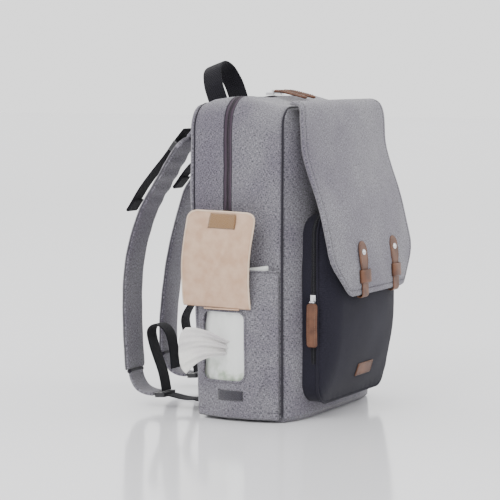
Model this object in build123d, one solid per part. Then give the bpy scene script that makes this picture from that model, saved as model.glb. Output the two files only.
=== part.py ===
from build123d import *
import math
import os

# A backpack style diaper bag standing on its base, in millimetres.
# +Z is up, the front with its flap faces -Y, the shoulder straps are at +Y.
# The origin is on the floor under the middle of the bag's body.

# ---- driving dimensions -------------------------------------------------------------
# body
HALF_WIDTH = 133.0
HEIGHT = 398.0  # front and back top edges before rounding
CROWN_Z = HEIGHT + 14.0  # highest line of the top, where the zip runs
FRONT_SEAM_Y = -65.0  # where the gusset meets the front panel
FRONT_SIDE_Y = -79.0  # the front panel near the pocket's side
FRONT_Y = -86.0  # the front panel at its fullest
FRONT_SIDE_X = HALF_WIDTH - 29.0
BACK_BASE_Y = 59.0
BACK_Y = BACK_BASE_Y + 11.0
BACK_BEND_Z = HEIGHT - 113.0
WALL = 4.0  # padded fabric
TOP_CORNER_R = 38.0
FRONT_TOP_R = 22.0
BACK_TOP_R = 28.0
RIDGE_R = 40.0
BASE_R = 10.0
BACK_CORNER_R = 12.0
FRONT_SIDE_R = 60.0  # where the bulging front panel turns back to its side seams
FRONT_BEND = 0.3236  # share of the front's half width that its middle bend takes up
FRONT_MIDDLE_R = FRONT_BEND * FRONT_SIDE_X**2 / (FRONT_SIDE_Y - FRONT_Y)
TOP_SEAM_Z = HEIGHT - 34.0  # side panels end and the top gusset starts
# inside
FOAM = 4.0
FOAM_MARGIN = 14.0
BOARD = 2.5
LINING = 1.0
INNER_POCKET_HALF = HALF_WIDTH - 41.0
INNER_POCKET_BASE_Z = 24.0
INNER_POCKET_TOP_Z = 190.0
INNER_POCKET_DEPTH = 16.0
INNER_POCKET_WALL = 1.4
# main zip and the mouth that it frees
ZIP_Y = 12.0
TAPE = 9.0  # visible width of each tape
TAPE_THICK = 1.2
TAPE_INSET = 1.0
COIL = 1.8
MOUTH_Z = HEIGHT - 134.0  # fold line of the mouth
SLIDER_GAP = 0.1
SLIDER_LENGTH = 9.0
SLIDER_WIDTH = 9.0
SLIDER_HEIGHT = 3.4
SLIDER_X = 13.0
PULL_LENGTH = 47.0
PULL_WIDTH = 11.0
PULL_THICK = 3.5
PULL_SLOPE = 10.0  # degrees below level, at rest on the top
# front pocket
POCKET_HALF = HALF_WIDTH - 28.0
POCKET_BASE_Z = 22.0
POCKET_TOP_Z = HEIGHT - 136.0
POCKET_CORNER_R = 25.0
POCKET_SEAM_Y = FRONT_Y - 15.0
POCKET_FULL_Y = POCKET_SEAM_Y - 32.0
POCKET_FULL_Z = (POCKET_BASE_Z + POCKET_TOP_Z) / 2 + 8.0
POCKET_BEND = 0.29  # how far the bends of the face lie from its fullest line, as a share of its height
POCKET_SIDE_X = POCKET_HALF - 21.0  # where the padded face turns in to its seam
POCKET_SIDE_Y = POCKET_SEAM_Y - 18.0
POCKET_BEND_R = 120.0
POCKET_FULL_R = 150.0
POCKET_SIDE_R = 35.0
POCKET_MIDDLE_R = 200.0
POCKET_WALL = 2.0
POCKET_TAPE = 8.0
POCKET_ZIP_END_Z = 52.0
POCKET_SLIDER_Z = (POCKET_BASE_Z + POCKET_TOP_Z) / 2 + 15.0
POCKET_PULL_WIDTH = 15.0
POCKET_PULL_LENGTH = 56.0
POCKET_PULL_THICK = 2.5
LABEL_WIDTH = 48.0
LABEL_HEIGHT = 17.0
LABEL_Z = 57.0
MAGNET_R = 9.0
MAGNET_THICK = 2.6
MAGNET_X = 50.0
MAGNET_Z = HEIGHT - 212.0
SNAP_FACE_Y = POCKET_FULL_Y + 2.6  # the outer face of the snap halves on the pocket
# front flap
FLAP_HALF = HALF_WIDTH - 3.0
FLAP_THICK = 4.4
FLAP_LINING = 1.2
FLAP_BOTTOM_Z = HEIGHT - 239.0
FLAP_CHAMFER_Z = HEIGHT - 194.0
FLAP_TIP_HALF = FLAP_HALF - 46.0
FLAP_TIP_R = 10.0
FLAP_SIDE_R = 18.0
FLAP_TOP_R = 30.0
HEM_R = 2.0
HEM_HALF = HALF_WIDTH - 14.0
HEM_ANGLE = 110.0  # where the hem sits round the front top corner, in degrees
LEATHER = 1.8
LEATHER_STRAP_WIDTH = 19.0
LEATHER_TAB_WIDTH = 24.0
KEEPER_WIDTH = 27.0
KEEPER_HEIGHT = 17.0
LEATHER_TAB_HEIGHT = 40.0
KEEPER_Z = HEIGHT - 215.0
STUD_Z = HEIGHT - 186.0
STUD_R = 4.5
# side pockets
SIDE_POCKET_Y = -4.0
SIDE_POCKET_HALF = 58.0
SIDE_POCKET_BASE_Z = 3.0
SIDE_CLOTH = 1.6
WIPES_TOP_Z = 193.0
WIPES_BULGE = 10.5
BOTTLE_TOP_Z = 150.0
BOTTLE_BULGE = 15.0
ELASTIC = 8.0
ELASTIC_THICK = 2.6
WINDOW_Y = 14.0
WINDOW_Z = 95.0
WINDOW_WIDTH = 56.0
WINDOW_HEIGHT = 88.0
WINDOW_R = 10.0
BINDING = 5.0
BINDING_THICK = 1.2
PACK_FRONT_Y = -48.0
PACK_BACK_Y = 50.0
PACK_TOP_Z = 189.0
PACK_TILT = 4.0
WIPE_THICK = 1.2
PATCH_THICK = 1.2
BAG_PATCH_WIDTH = 36.0
BAG_PATCH_HEIGHT = 13.0
BAG_PATCH_Z = 32.0
LID_WIDTH = 95.0
LID_HEIGHT = 123.0
LID_THICK = 2.0
LID_Z = 143.0
LID_Y = 18.0
LID_LEAN = 4.0
LID_CORNER_R = 11.0
LID_PATCH_WIDTH = 39.0
LID_PATCH_HEIGHT = 20.0
# carry handle
HANDLE_R = 30.0
HANDLE_RISE = 26.0
HANDLE_WIDTH = 28.0
HANDLE_THICK = 3.0
HANDLE_Y = BACK_Y + 8.0
HANDLE_Z = HEIGHT + 1.6
HANDLE_LEAN = 20.0
HANDLE_TAB = 2.7
HANDLE_TAB_R = 10.0
# shoulder straps
STRAP_X = 84.0
PAD_WIDTH = 44.0
PAD_THICK = 9.0
WEB_WIDTH = 25.0
WEB_THICK = 1.8
STRAP_TAB_WIDTH = 26.0
STRAP_TAB_THICK = 6.0
FOOT_TAB_WIDTH = 34.0
FOOT_TAB_THICK = 3.0
STRAP_END_THICK = 5.0
BUCKLE_WIDTH = 32.0
BUCKLE_LENGTH = 16.0
BUCKLE_THICK = 6.0
BUCKLE_BAR = 3.0
LIFTER_BUCKLE_AT = 21.0  # along the pad from its upper end
# fits
SEWN_GAP = 0.05  # under a trim that is sewn on
CLEAR = 0.3  # between soft layers, and between bodies at rest
SPLIT = 0.4  # each side of a parting line between two bodies
SWING_GAP = 0.8  # between a shoulder strap and the tab that carries it
FAR = 1.5 * HEIGHT  # longer than anything here, for cuts


# ---- helpers ------------------------------------------------------------------------
def block(x_range, y_range, z_range):
    """A box between low and high corners."""
    low, high = zip(x_range, y_range, z_range)
    size = [b - a for a, b in zip(low, high)]
    middle = [(a + b) / 2 for a, b in zip(low, high)]
    return Pos(*middle) * Box(*size)


ALL = (-FAR, FAR)


def mirrored(solid):
    """The same solid at the other side of the bag."""
    return mirror(solid, about=Plane.YZ)


def across(face):
    """A Y-Z outline carried right across the bag."""
    return extrude(Plane.YZ * face, amount=FAR, both=True)


def outline(points, radii):
    """A closed straight-sided outline whose corners are rounded where radii gives a size."""
    face = make_face(Polyline(*points, close=True))
    for corner, radius in radii.items():
        near = face.vertices().sort_by_distance(Vector(*points[corner]))[0]
        face = fillet(near, radius)
    return face


def shifted(points, distance):
    """A line of points moved sideways, to the left of its direction."""
    moved = []
    for i, (a, b) in enumerate(points):
        before = points[max(i - 1, 0)]
        after = points[min(i + 1, len(points) - 1)]
        run = (after[0] - before[0], after[1] - before[1])
        length = math.hypot(*run)
        moved.append((a - distance * run[1] / length, b + distance * run[0] / length))
    return moved


def strip(points, thickness, offset_by=0.0):
    """A band of even thickness along a smooth line through the points."""
    left = Spline(*shifted(points, offset_by + thickness / 2))
    right = Spline(*shifted(points, offset_by - thickness / 2))
    ends = [Line(left @ 0, right @ 0), Line(left @ 1, right @ 1)]
    return make_face([left, right, *ends])


def ribbon(points, thickness, width, x_mid):
    """A webbing or pad whose line lies in Y-Z and whose width runs along X."""
    band = extrude(Plane.YZ * strip(points, thickness), amount=width / 2, both=True)
    return Pos(x_mid, 0, 0) * band


# ---- body shell ---------------------------------------------------------------------
FACE_Y = FRONT_Y - 1.0  # the flat that rounds over at the top, just ahead of the bulge
POCKET_FACE_Y = POCKET_FULL_Y - 3.0  # likewise for the pocket's plan


def side_outline():
    points = [
        (FACE_Y, 0),
        (BACK_BASE_Y, 0),
        (BACK_Y, BACK_BEND_Z),
        (BACK_Y, HEIGHT),
        (ZIP_Y, CROWN_Z + 1.2),
        (FACE_Y, HEIGHT),
    ]
    return outline(points, {0: BASE_R, 1: BASE_R, 3: BACK_TOP_R, 4: RIDGE_R, 5: FRONT_TOP_R})


def width_outline():
    w = HALF_WIDTH
    points = [(-w, 0), (w, 0), (w, CROWN_Z), (-w, CROWN_Z)]
    return outline(points, {0: BASE_R, 1: BASE_R, 2: TOP_CORNER_R, 3: TOP_CORNER_R})


def plan_outline():
    w, side_x = HALF_WIDTH, FRONT_SIDE_X
    points = [
        (-w, FRONT_SEAM_Y),
        (-side_x, FRONT_SIDE_Y),
        (0, FRONT_Y),
        (side_x, FRONT_SIDE_Y),
        (w, FRONT_SEAM_Y),
        (w, BACK_Y),
        (-w, BACK_Y),
    ]
    front = {1: FRONT_SIDE_R, 2: FRONT_MIDDLE_R, 3: FRONT_SIDE_R}
    return outline(points, {**front, 5: BACK_CORNER_R, 6: BACK_CORNER_R})


def body(inset):
    """The bag's outer shape, made smaller all round by inset."""
    side = across(offset(side_outline(), -inset))
    width = extrude(Plane.XZ * offset(width_outline(), -inset), amount=FAR, both=True)
    plan = extrude(offset(plan_outline(), -inset), amount=FAR * 2)
    return side & width & (Pos(0, 0, -FAR / 2) * plan)


def behind(depth):
    """The space behind a plane that follows the back panel, depth inside its face."""
    points = [
        (BACK_BASE_Y - depth, 0),
        (BACK_Y - depth, BACK_BEND_Z),
        (BACK_Y - depth, FAR * 2),
        (FAR, FAR * 2),
        (FAR, -FAR),
        (BACK_BASE_Y - depth, -FAR),
    ]
    return across(make_face(Polyline(*points, close=True)))


GUSSET_FRONT_Y = FRONT_SEAM_Y + 3.0
ABOVE_FOLD = (MOUTH_Z + SPLIT, FAR * 2)
mouth_space = block(ALL, (-FAR, ZIP_Y - SPLIT), ABOVE_FOLD)
zip_and_front = block(ALL, (-FAR, ZIP_Y + SPLIT), (MOUTH_Z - SPLIT, FAR * 2))
tape_space = block(ALL, (ZIP_Y - TAPE, ZIP_Y + TAPE), (MOUTH_Z - SPLIT, FAR * 2))

outer = body(0)
clear_of_body = body(-CLEAR)
shell = outer - body(WALL)
root_shell = shell - zip_and_front - tape_space
mouth_shell = (shell & mouth_space) - tape_space
back_space = behind(WALL)
front_space = block(ALL, (-FAR, GUSSET_FRONT_Y), (WALL, FAR * 2))
gusset_space = block(ALL, (GUSSET_FRONT_Y, FAR), (WALL, FAR * 2)) - back_space


def body_panels():
    sides = root_shell & gusset_space & block(ALL, ALL, (WALL, TOP_SEAM_Z))
    return {
        "base_panel": shell & block(ALL, ALL, (0, WALL)),
        "back_panel": root_shell & back_space & block(ALL, ALL, (WALL, FAR * 2)),
        "front_panel": root_shell & front_space & block(ALL, ALL, (WALL, MOUTH_Z - SPLIT)),
        "left_side_panel": sides & block((-FAR, 0), ALL, ALL),
        "right_side_panel": sides & block((0, FAR), ALL, ALL),
        "rear_top_gusset": root_shell & gusset_space & block(ALL, ALL, (TOP_SEAM_Z, FAR * 2)),
    }


def mouth_panels():
    gusset = mouth_shell & gusset_space
    return {
        "mouth_front_panel": mouth_shell & front_space,
        "mouth_side_panels": gusset & block(ALL, ALL, (MOUTH_Z, TOP_SEAM_Z)),
        "mouth_top_gusset": gusset & block(ALL, ALL, (TOP_SEAM_Z, FAR * 2)),
    }


def cavity(inset):
    """The room inside the bag once the foam and the base board are in, less inset all round."""
    back = behind(WALL + CLEAR + FOAM + inset)
    floor = block(ALL, ALL, (-FAR, WALL + CLEAR + BOARD + inset))
    return body(WALL + inset) - back - floor


def inner_layers():
    lining = cavity(CLEAR) - cavity(CLEAR + LINING)
    foam = (body(WALL + CLEAR) & behind(WALL + CLEAR + FOAM)) - behind(WALL + CLEAR)
    foam_range = (WALL + CLEAR + BOARD + FOAM_MARGIN, HEIGHT - FOAM_MARGIN - WALL)
    half = HALF_WIDTH - FOAM_MARGIN
    board = body(WALL + CLEAR) & block(ALL, ALL, (WALL + CLEAR, WALL + CLEAR + BOARD))
    return {
        "lining": lining - zip_and_front,
        "mouth_lining": lining & mouth_space,
        "back_foam": foam & block((-half, half), ALL, foam_range),
        "base_board": board - behind(WALL + CLEAR + FOAM),
    }


def inner_pocket():
    """An open-topped slip pocket sewn to the lining at the back."""
    half, wall = INNER_POCKET_HALF, INNER_POCKET_WALL
    face = WALL + CLEAR + FOAM + CLEAR + LINING + CLEAR
    near = behind(face + INNER_POCKET_DEPTH) - behind(face)
    room = behind(face + INNER_POCKET_DEPTH - wall)
    outside = near & block((-half, half), ALL, (INNER_POCKET_BASE_Z, INNER_POCKET_TOP_Z))
    inside = room & block((wall - half, half - wall), ALL, (INNER_POCKET_BASE_Z + wall, FAR * 2))
    return outside - inside


def zip_tapes():
    tape = body(TAPE_INSET) - body(TAPE_INSET + TAPE_THICK)
    coil = body(CLEAR) - body(TAPE_INSET + TAPE_THICK)
    rear_tape = tape & block(ALL, (ZIP_Y + SPLIT, ZIP_Y + TAPE), ABOVE_FOLD)
    rear_coil = coil & block(ALL, (ZIP_Y + SPLIT, ZIP_Y + SPLIT + COIL), ABOVE_FOLD)
    front_tape = tape & block(ALL, (ZIP_Y - TAPE, ZIP_Y - SPLIT), ABOVE_FOLD)
    front_coil = coil & block(ALL, (ZIP_Y - SPLIT - COIL, ZIP_Y - SPLIT), ABOVE_FOLD)
    return {"rear_zip_tape": rear_tape + rear_coil, "front_zip_tape": front_tape + front_coil}


def piping():
    """The cords in the front and back seams of the gusset."""
    ring = body(-1.6) - body(-CLEAR)
    above_floor = block(ALL, ALL, (BASE_R, MOUTH_Z - SPLIT))
    whole = block(ALL, ALL, (BASE_R, FAR * 2))
    back_band = behind(3.5) - behind(1.0)
    front_band = block(ALL, (FRONT_SEAM_Y - 1.5, FRONT_SEAM_Y + 1.0), ALL)
    gap = HANDLE_R + HANDLE_WIDTH / 2
    handle_space = block((-gap, gap), ALL, (TOP_SEAM_Z, FAR * 2))
    return (ring & front_band & above_floor) + ((ring & back_band & whole) - handle_space)


# ---- main zip sliders and pulls -----------------------------------------------------
SLIDER_FLOOR_Z = CROWN_Z + SLIDER_GAP
SLIDER_TOP_Z = SLIDER_FLOOR_Z + SLIDER_HEIGHT
PULL_PIN_R = 1.5
PULL_PIN_Y = ZIP_Y - SLIDER_WIDTH / 2 - 0.5
PULL_PIN_Z = SLIDER_TOP_Z + PULL_PIN_R + 0.6


def zip_slider(x_mid):
    half = SLIDER_LENGTH / 2
    rear = ZIP_Y + SLIDER_WIDTH / 2
    front = PULL_PIN_Y - PULL_PIN_R
    base = block((-half, half), (front, rear), (SLIDER_FLOOR_Z, SLIDER_TOP_Z))
    base = fillet(base.edges().filter_by(Axis.Z), 2.0)
    bridge = block((-1.5, 1.5), (front, PULL_PIN_Y + PULL_PIN_R), (SLIDER_TOP_Z, PULL_PIN_Z))
    pin = Pos(0, PULL_PIN_Y, PULL_PIN_Z) * Rot(0, 90, 0) * Cylinder(PULL_PIN_R, 5.0)
    return Pos(x_mid, 0, 0) * (base + bridge + pin)


def zip_pull(x_mid):
    """A folded leather pull that lies forward on the top."""
    start = PULL_PIN_R + 2 * CLEAR
    flat = RectangleRounded(PULL_WIDTH, PULL_LENGTH, PULL_WIDTH / 2 - 0.5)
    strap = extrude(flat, amount=PULL_THICK / 2, both=True)
    strap = Pos(0, -PULL_LENGTH / 2 - start, 0) * strap
    return Pos(x_mid, PULL_PIN_Y, PULL_PIN_Z) * Rot(PULL_SLOPE, 0, 0) * strap


# ---- front pocket -------------------------------------------------------------------
POCKET_TAPE_Y = POCKET_SEAM_Y + 1.0 + POCKET_TAPE


def pocket_body(inset):
    """The full front pocket, from behind the front panel out to its padded face."""
    half, side_x = POCKET_HALF, POCKET_SIDE_X
    bend = POCKET_BEND * (POCKET_TOP_Z - POCKET_BASE_Z)
    profile = [
        (POCKET_SEAM_Y + 4, POCKET_BASE_Z),
        (POCKET_FULL_Y + 9, POCKET_FULL_Z - bend),
        (POCKET_FULL_Y, POCKET_FULL_Z),
        (POCKET_FULL_Y + 9, POCKET_FULL_Z + bend - 4),
        (POCKET_SEAM_Y - 6, POCKET_TOP_Z),
        (0, POCKET_TOP_Z),
        (0, POCKET_BASE_Z),
    ]
    bends = {1: POCKET_BEND_R, 2: POCKET_FULL_R, 3: POCKET_BEND_R}
    side = across(offset(outline(profile, bends), -inset))
    flat = [
        (-half, POCKET_SEAM_Y),
        (-side_x, POCKET_SIDE_Y),
        (0, POCKET_FACE_Y),
        (side_x, POCKET_SIDE_Y),
        (half, POCKET_SEAM_Y),
        (half, 0),
        (-half, 0),
    ]
    turns = {1: POCKET_SIDE_R, 2: POCKET_MIDDLE_R, 3: POCKET_SIDE_R}
    plan = extrude(offset(outline(flat, turns), -inset), amount=FAR)
    return side & plan & pocket_width(inset)


def pocket_width(inset):
    """The pocket's rounded outline seen from the front, carried along Y."""
    middle = (POCKET_BASE_Z + POCKET_TOP_Z) / 2
    width, height = 2 * (POCKET_HALF - inset), POCKET_TOP_Z - POCKET_BASE_Z - 2 * inset
    flat = RectangleRounded(width, height, POCKET_CORNER_R - inset)
    return Pos(0, 0, middle) * extrude(Plane.XZ * flat, amount=FAR, both=True)


def front_pocket():
    walls = pocket_body(0) - pocket_body(POCKET_WALL)
    walls = walls - clear_of_body
    zip_band = block(ALL, (POCKET_SEAM_Y + 1, POCKET_TAPE_Y), (POCKET_ZIP_END_Z, FAR))
    tape = (pocket_body(0.6) - pocket_body(1.6)) & zip_band
    seam = block(ALL, (POCKET_SEAM_Y - 1, POCKET_SEAM_Y + 1.5), ALL)
    cord = (pocket_width(-1.6) - pocket_width(-CLEAR)) & seam
    return {
        "pocket_front_panel": walls & block(ALL, (-FAR, POCKET_SEAM_Y + 1), ALL),
        "pocket_gusset": (walls & block(ALL, (POCKET_SEAM_Y + 1, 0), ALL)) - zip_band,
        "pocket_zip_tape": tape,
        "pocket_piping": cord,
    }


def magnets(near, out):
    """Two magnetic snap halves that face each other between the pocket and the flap."""
    one = Pos(MAGNET_X, 0, MAGNET_Z) * Rot(90, 0, 0) * Cylinder(MAGNET_R, FAR)
    both = one + mirrored(one)
    return both & block(ALL, (out, near), ALL)


def pocket_snaps():
    """Snap halves standing on the pocket's face."""
    post = magnets(POCKET_SEAM_Y, SNAP_FACE_Y)
    return post - pocket_body(-CLEAR)


def label():
    flat = RectangleRounded(LABEL_WIDTH, LABEL_HEIGHT, 2.0)
    skin = pocket_body(-CLEAR - LEATHER) - pocket_body(-CLEAR)
    flat = extrude(Plane.XZ * flat, amount=-POCKET_HALF / 2, both=True)
    return skin & (Pos(0, POCKET_FULL_Y, LABEL_Z) * flat)


POCKET_PIN_X = -POCKET_HALF - 5.6
POCKET_ZIP_Y = POCKET_TAPE_Y - POCKET_TAPE / 2


def pocket_slider():
    top, mid = -POCKET_HALF - CLEAR, POCKET_ZIP_Y
    pin_z = POCKET_SLIDER_Z - 4
    base = block((top - 3.0, top), (mid - 3.5, mid + 3.5), (pin_z - 1, pin_z + 9))
    post = block((POCKET_PIN_X, top - 3.0), (mid - 1.5, mid + 1.5), (pin_z, pin_z + 6))
    pin = Pos(POCKET_PIN_X, POCKET_ZIP_Y, pin_z) * Rot(90, 0, 0) * Cylinder(1.2, 7.0)
    return base + post + pin


def pocket_pull():
    pin_z = POCKET_SLIDER_Z - 4
    flat = RectangleRounded(POCKET_PULL_WIDTH, POCKET_PULL_LENGTH, 4.0)
    strap = extrude(Plane.YZ * flat, amount=POCKET_PULL_THICK / 2, both=True)
    drop = 1.2 + CLEAR + POCKET_PULL_LENGTH / 2
    return Pos(POCKET_PIN_X, POCKET_ZIP_Y, pin_z - drop) * strap


# ---- front flap ---------------------------------------------------------------------
TOP_SLOPE = math.atan2(CROWN_Z + 1.2 - HEIGHT, ZIP_Y - FACE_Y)
CORNER_Y = FACE_Y + FRONT_TOP_R
CORNER_Z = HEIGHT + FRONT_TOP_R * (math.tan(TOP_SLOPE) - 1 / math.cos(TOP_SLOPE))
HEM_REACH = FRONT_TOP_R + 2 * CLEAR + HEM_R
HEM_Y = CORNER_Y + HEM_REACH * math.cos(math.radians(HEM_ANGLE))
HEM_Z = CORNER_Z + HEM_REACH * math.sin(math.radians(HEM_ANGLE))
FLAP_START = (HEM_Y - HEM_R - 2 * CLEAR, HEM_Z + 1.6)
# from its start: the middle of the flap, and its side edges, as steps in Y and Z
FLAP_MIDDLE = [(-8, -2), (-14, -9.5), (-19, -28), (-24, -57), (-31, -84)]
FLAP_MIDDLE += [(-42, -117), (-53, -152), (-61, -187), (-64, -217), (-65, -244)]
FLAP_EDGE = [(-7, -2), (-11, -9.5), (-13, -28), (-15, -57), (-22, -84)]
FLAP_EDGE += [(-34, -117), (-44, -152), (-52, -187), (-55, -217), (-56, -244)]


def flap_hem():
    return Pos(0, HEM_Y, HEM_Z) * Rot(0, 90, 0) * Cylinder(HEM_R, 2 * HEM_HALF)


def flap_layer(low, high):
    """A crowned layer of the flap between two distances from its middle surface."""
    sections = []
    for x, line in ((-FLAP_HALF - 2, FLAP_EDGE), (0, FLAP_MIDDLE), (FLAP_HALF + 2, FLAP_EDGE)):
        points = [FLAP_START] + [(FLAP_START[0] + y, FLAP_START[1] + z) for y, z in line]
        face = strip(points, high - low, -(low + high) / 2)
        sections.append(Plane.YZ.offset(x) * face)
    return loft(sections)


def flap_outline(inset):
    """The flap seen from the front: straight sides, then cut corners."""
    half = FLAP_HALF - inset
    top = FLAP_START[1] + 20
    bottom = FLAP_BOTTOM_Z + inset
    points = [
        (-FLAP_TIP_HALF, bottom),
        (FLAP_TIP_HALF, bottom),
        (half, FLAP_CHAMFER_Z),
        (half, top),
        (-half, top),
        (-half, FLAP_CHAMFER_Z),
    ]
    face = outline(points, {0: FLAP_TIP_R, 1: FLAP_TIP_R, 2: FLAP_SIDE_R, 5: FLAP_SIDE_R})
    corners = flap_top_corners(half)
    return extrude(Plane.XZ * face, amount=FAR, both=True) - corners


def flap_top_corners(half):
    """What the rounded top corners of the flap leave out."""
    radius = FLAP_TOP_R
    middle_z = FLAP_START[1] + 6 - radius
    corner = Pos(half - radius / 2, middle_z + radius / 2) * Rectangle(radius, radius)
    corner = corner - Pos(half - radius, middle_z) * Circle(radius)
    corner = corner + Pos(half - radius / 2, middle_z + radius * 1.5) * Rectangle(radius, radius)
    right = extrude(Plane.XZ * corner, amount=FAR, both=True)
    return right + mirrored(right)


FLAP_OUT = FLAP_THICK / 2


def flap_lining():
    margin = 6.0
    layer = flap_layer(-FLAP_OUT - CLEAR - FLAP_LINING, -FLAP_OUT - CLEAR)
    return layer & flap_outline(margin) & block(ALL, (-FAR, FLAP_START[0] - margin), ALL)


def leather_outline(x_mid):
    """A strap down the flap with a wider rounded tab at its upper end."""
    height = LEATHER_TAB_HEIGHT
    strap = Pos(x_mid, FLAP_BOTTOM_Z + 15) * Rectangle(LEATHER_STRAP_WIDTH, height)
    tab = RectangleRounded(LEATHER_TAB_WIDTH, height, LEATHER_TAB_WIDTH / 2 - 0.5)
    tab = Pos(x_mid, STUD_Z + 14 - height / 2) * tab
    return strap + tab


def flap_leather():
    """The two straps, and the raised loop that each one passes through."""
    low = FLAP_OUT + CLEAR
    skin = flap_layer(low, low + LEATHER)
    flat = leather_outline(MAGNET_X) + leather_outline(-MAGNET_X)
    cut = extrude(Plane.XZ * flat, amount=FAR, both=True)
    straps = skin & cut & block(ALL, ALL, (FLAP_BOTTOM_Z, FAR * 2))
    loop_skin = flap_layer(low + LEATHER, low + 2 * LEATHER)
    loop = Pos(MAGNET_X, KEEPER_Z) * Rectangle(KEEPER_WIDTH, KEEPER_HEIGHT)
    loop = extrude(Plane.XZ * loop, amount=FAR, both=True)
    return straps + (loop_skin & (loop + mirrored(loop)))


def flap_studs():
    low = FLAP_OUT + CLEAR + LEATHER + CLEAR
    skin = flap_layer(low, low + 2.0)
    one = extrude(Plane.XZ * (Pos(MAGNET_X, STUD_Z) * Circle(STUD_R)), amount=FAR, both=True)
    return skin & (one + mirrored(one))


def flap_snaps():
    """Snap halves on the underside of the flap, behind the leather straps."""
    high = -FLAP_OUT - FLAP_LINING - 2 * CLEAR
    skin = flap_layer(high - MAGNET_THICK, high)
    one = Pos(MAGNET_X, MAGNET_Z) * Circle(MAGNET_R)
    one = extrude(Plane.XZ * one, amount=FAR, both=True)
    return skin & (one + mirrored(one))


# ---- side pockets -------------------------------------------------------------------
def side_curve(bulge):
    """The plan line of a pocket panel sewn to the left side, front to back."""
    edge = -HALF_WIDTH - CLEAR - SIDE_CLOTH / 2
    half = SIDE_POCKET_HALF
    deep = edge - bulge
    near = edge - 0.72 * bulge
    line = [(edge, -half), (near, -0.6 * half), (deep, 0), (near, 0.6 * half), (edge, half)]
    return [(x, y + SIDE_POCKET_Y) for x, y in line]


def side_pocket(bulge, top, cloth=SIDE_CLOTH, out=0.0, base=SIDE_POCKET_BASE_Z):
    panel = strip(side_curve(bulge), cloth, out)
    return Pos(0, 0, base) * extrude(panel, amount=top - base)


def side_room(bulge, gap):
    """The room between the side panel and its pocket panel, less gap."""
    line = shifted(side_curve(bulge), -SIDE_CLOTH / 2 - gap)
    inner = -HALF_WIDTH + 5
    wall = Polyline(line[-1], (inner, line[-1][1]), (inner, line[0][1]), line[0])
    room = extrude(make_face([Spline(*line), wall]), amount=FAR)
    return room & block((-FAR, -HALF_WIDTH - gap), ALL, ALL)


def pocket_floor(bulge):
    low = SIDE_POCKET_BASE_Z
    return side_room(bulge, 0.0) & block(ALL, ALL, (low, low + SIDE_CLOTH))


def window_cut(grow):
    flat = RectangleRounded(WINDOW_WIDTH + 2 * grow, WINDOW_HEIGHT + 2 * grow, WINDOW_R + grow)
    cut = extrude(Plane.YZ * flat, amount=FAR)
    return Pos(-FAR - 1, WINDOW_Y, WINDOW_Z) * cut


def wipes_pocket():
    panel = side_pocket(WIPES_BULGE, WIPES_TOP_Z) - window_cut(0)
    out = (SIDE_CLOTH + BINDING_THICK) / 2 + SEWN_GAP
    skin = side_pocket(WIPES_BULGE, WIPES_TOP_Z, BINDING_THICK, out)
    patch_out = (SIDE_CLOTH + PATCH_THICK) / 2 + SEWN_GAP
    patch_skin = side_pocket(WIPES_BULGE, WIPES_TOP_Z, PATCH_THICK, patch_out)
    half = BAG_PATCH_WIDTH / 2
    y_range = (WINDOW_Y - 7 - half, WINDOW_Y - 7 + half)
    z_range = (BAG_PATCH_Z - BAG_PATCH_HEIGHT / 2, BAG_PATCH_Z + BAG_PATCH_HEIGHT / 2)
    return {
        "wipes_pocket_panel": panel + pocket_floor(WIPES_BULGE),
        "window_binding": ((skin & window_cut(BINDING)) - window_cut(0)) + lid_hinge(),
        "closure_patch": patch_skin & block(ALL, y_range, z_range),
    }


def wipes_pack():
    base = SIDE_POCKET_BASE_Z + SIDE_CLOTH + 5.0
    pack = block(ALL, (PACK_FRONT_Y, PACK_BACK_Y), (base, PACK_TOP_Z))
    pack = fillet(pack.edges().filter_by(Axis.X), 12.0)
    middle = ((PACK_FRONT_Y + PACK_BACK_Y) / 2, (base + PACK_TOP_Z) / 2)
    pack = Pos(0, *middle) * Rot(-PACK_TILT, 0, 0) * Pos(0, -middle[0], -middle[1]) * pack
    return pack & side_room(WIPES_BULGE, CLEAR)


def wipe_sheet():
    """The wipe pulled out through the window, fanned towards the back."""
    points = [(0, 4), (0, -6), (22, -14), (46, -8), (56, 12), (48, 38), (34, 40), (16, 20)]
    fan = extrude(make_face(Polyline(*points, close=True)), amount=WIPE_THICK / 2, both=True)
    face_x = side_curve(WIPES_BULGE)[3][0] + SIDE_CLOTH / 2 + 2 * CLEAR
    upright = Rot(0, 0, 156) * Rot(90, 0, 0) * fan
    below_lid = block((-FAR, face_x), ALL, (0, LID_Z - 3))
    return (Pos(face_x, WINDOW_Y + 22, WINDOW_Z + 2) * upright) & below_lid


BINDING_X = side_curve(WIPES_BULGE)[2][0] - SIDE_CLOTH / 2 - BINDING_THICK
LID_X = BINDING_X - LID_THICK - 2 * CLEAR
LID_BEAD_R = 1.0


def lid_hinge():
    """The bead that the lid turns on, standing out from the top of the binding."""
    width = WINDOW_WIDTH
    bead = Pos(LID_X, WINDOW_Y, LID_Z) * Rot(90, 0, 0) * Cylinder(LID_BEAD_R, width)
    y_range = (WINDOW_Y - width / 2, WINDOW_Y + width / 2)
    z_range = (LID_Z - LID_BEAD_R / 2, LID_Z + LID_BEAD_R / 2)
    web = block((LID_X, BINDING_X + BINDING_THICK), y_range, z_range)
    return bead + web


def lid_place():
    return Pos(LID_X, LID_Y, LID_Z) * Rot(0, -LID_LEAN, 0)


def wipes_lid():
    """The flap that closes the window, standing open, hinged at its lower edge."""
    flat = Rectangle(LID_WIDTH, LID_HEIGHT)
    flat = fillet(flat.vertices().sort_by(Axis.Y)[-2:], LID_CORNER_R)
    plate = extrude(Plane.YZ * flat, amount=-LID_THICK)
    return lid_place() * Pos(0, 0, LID_HEIGHT / 2 + LID_BEAD_R + CLEAR) * plate


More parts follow.
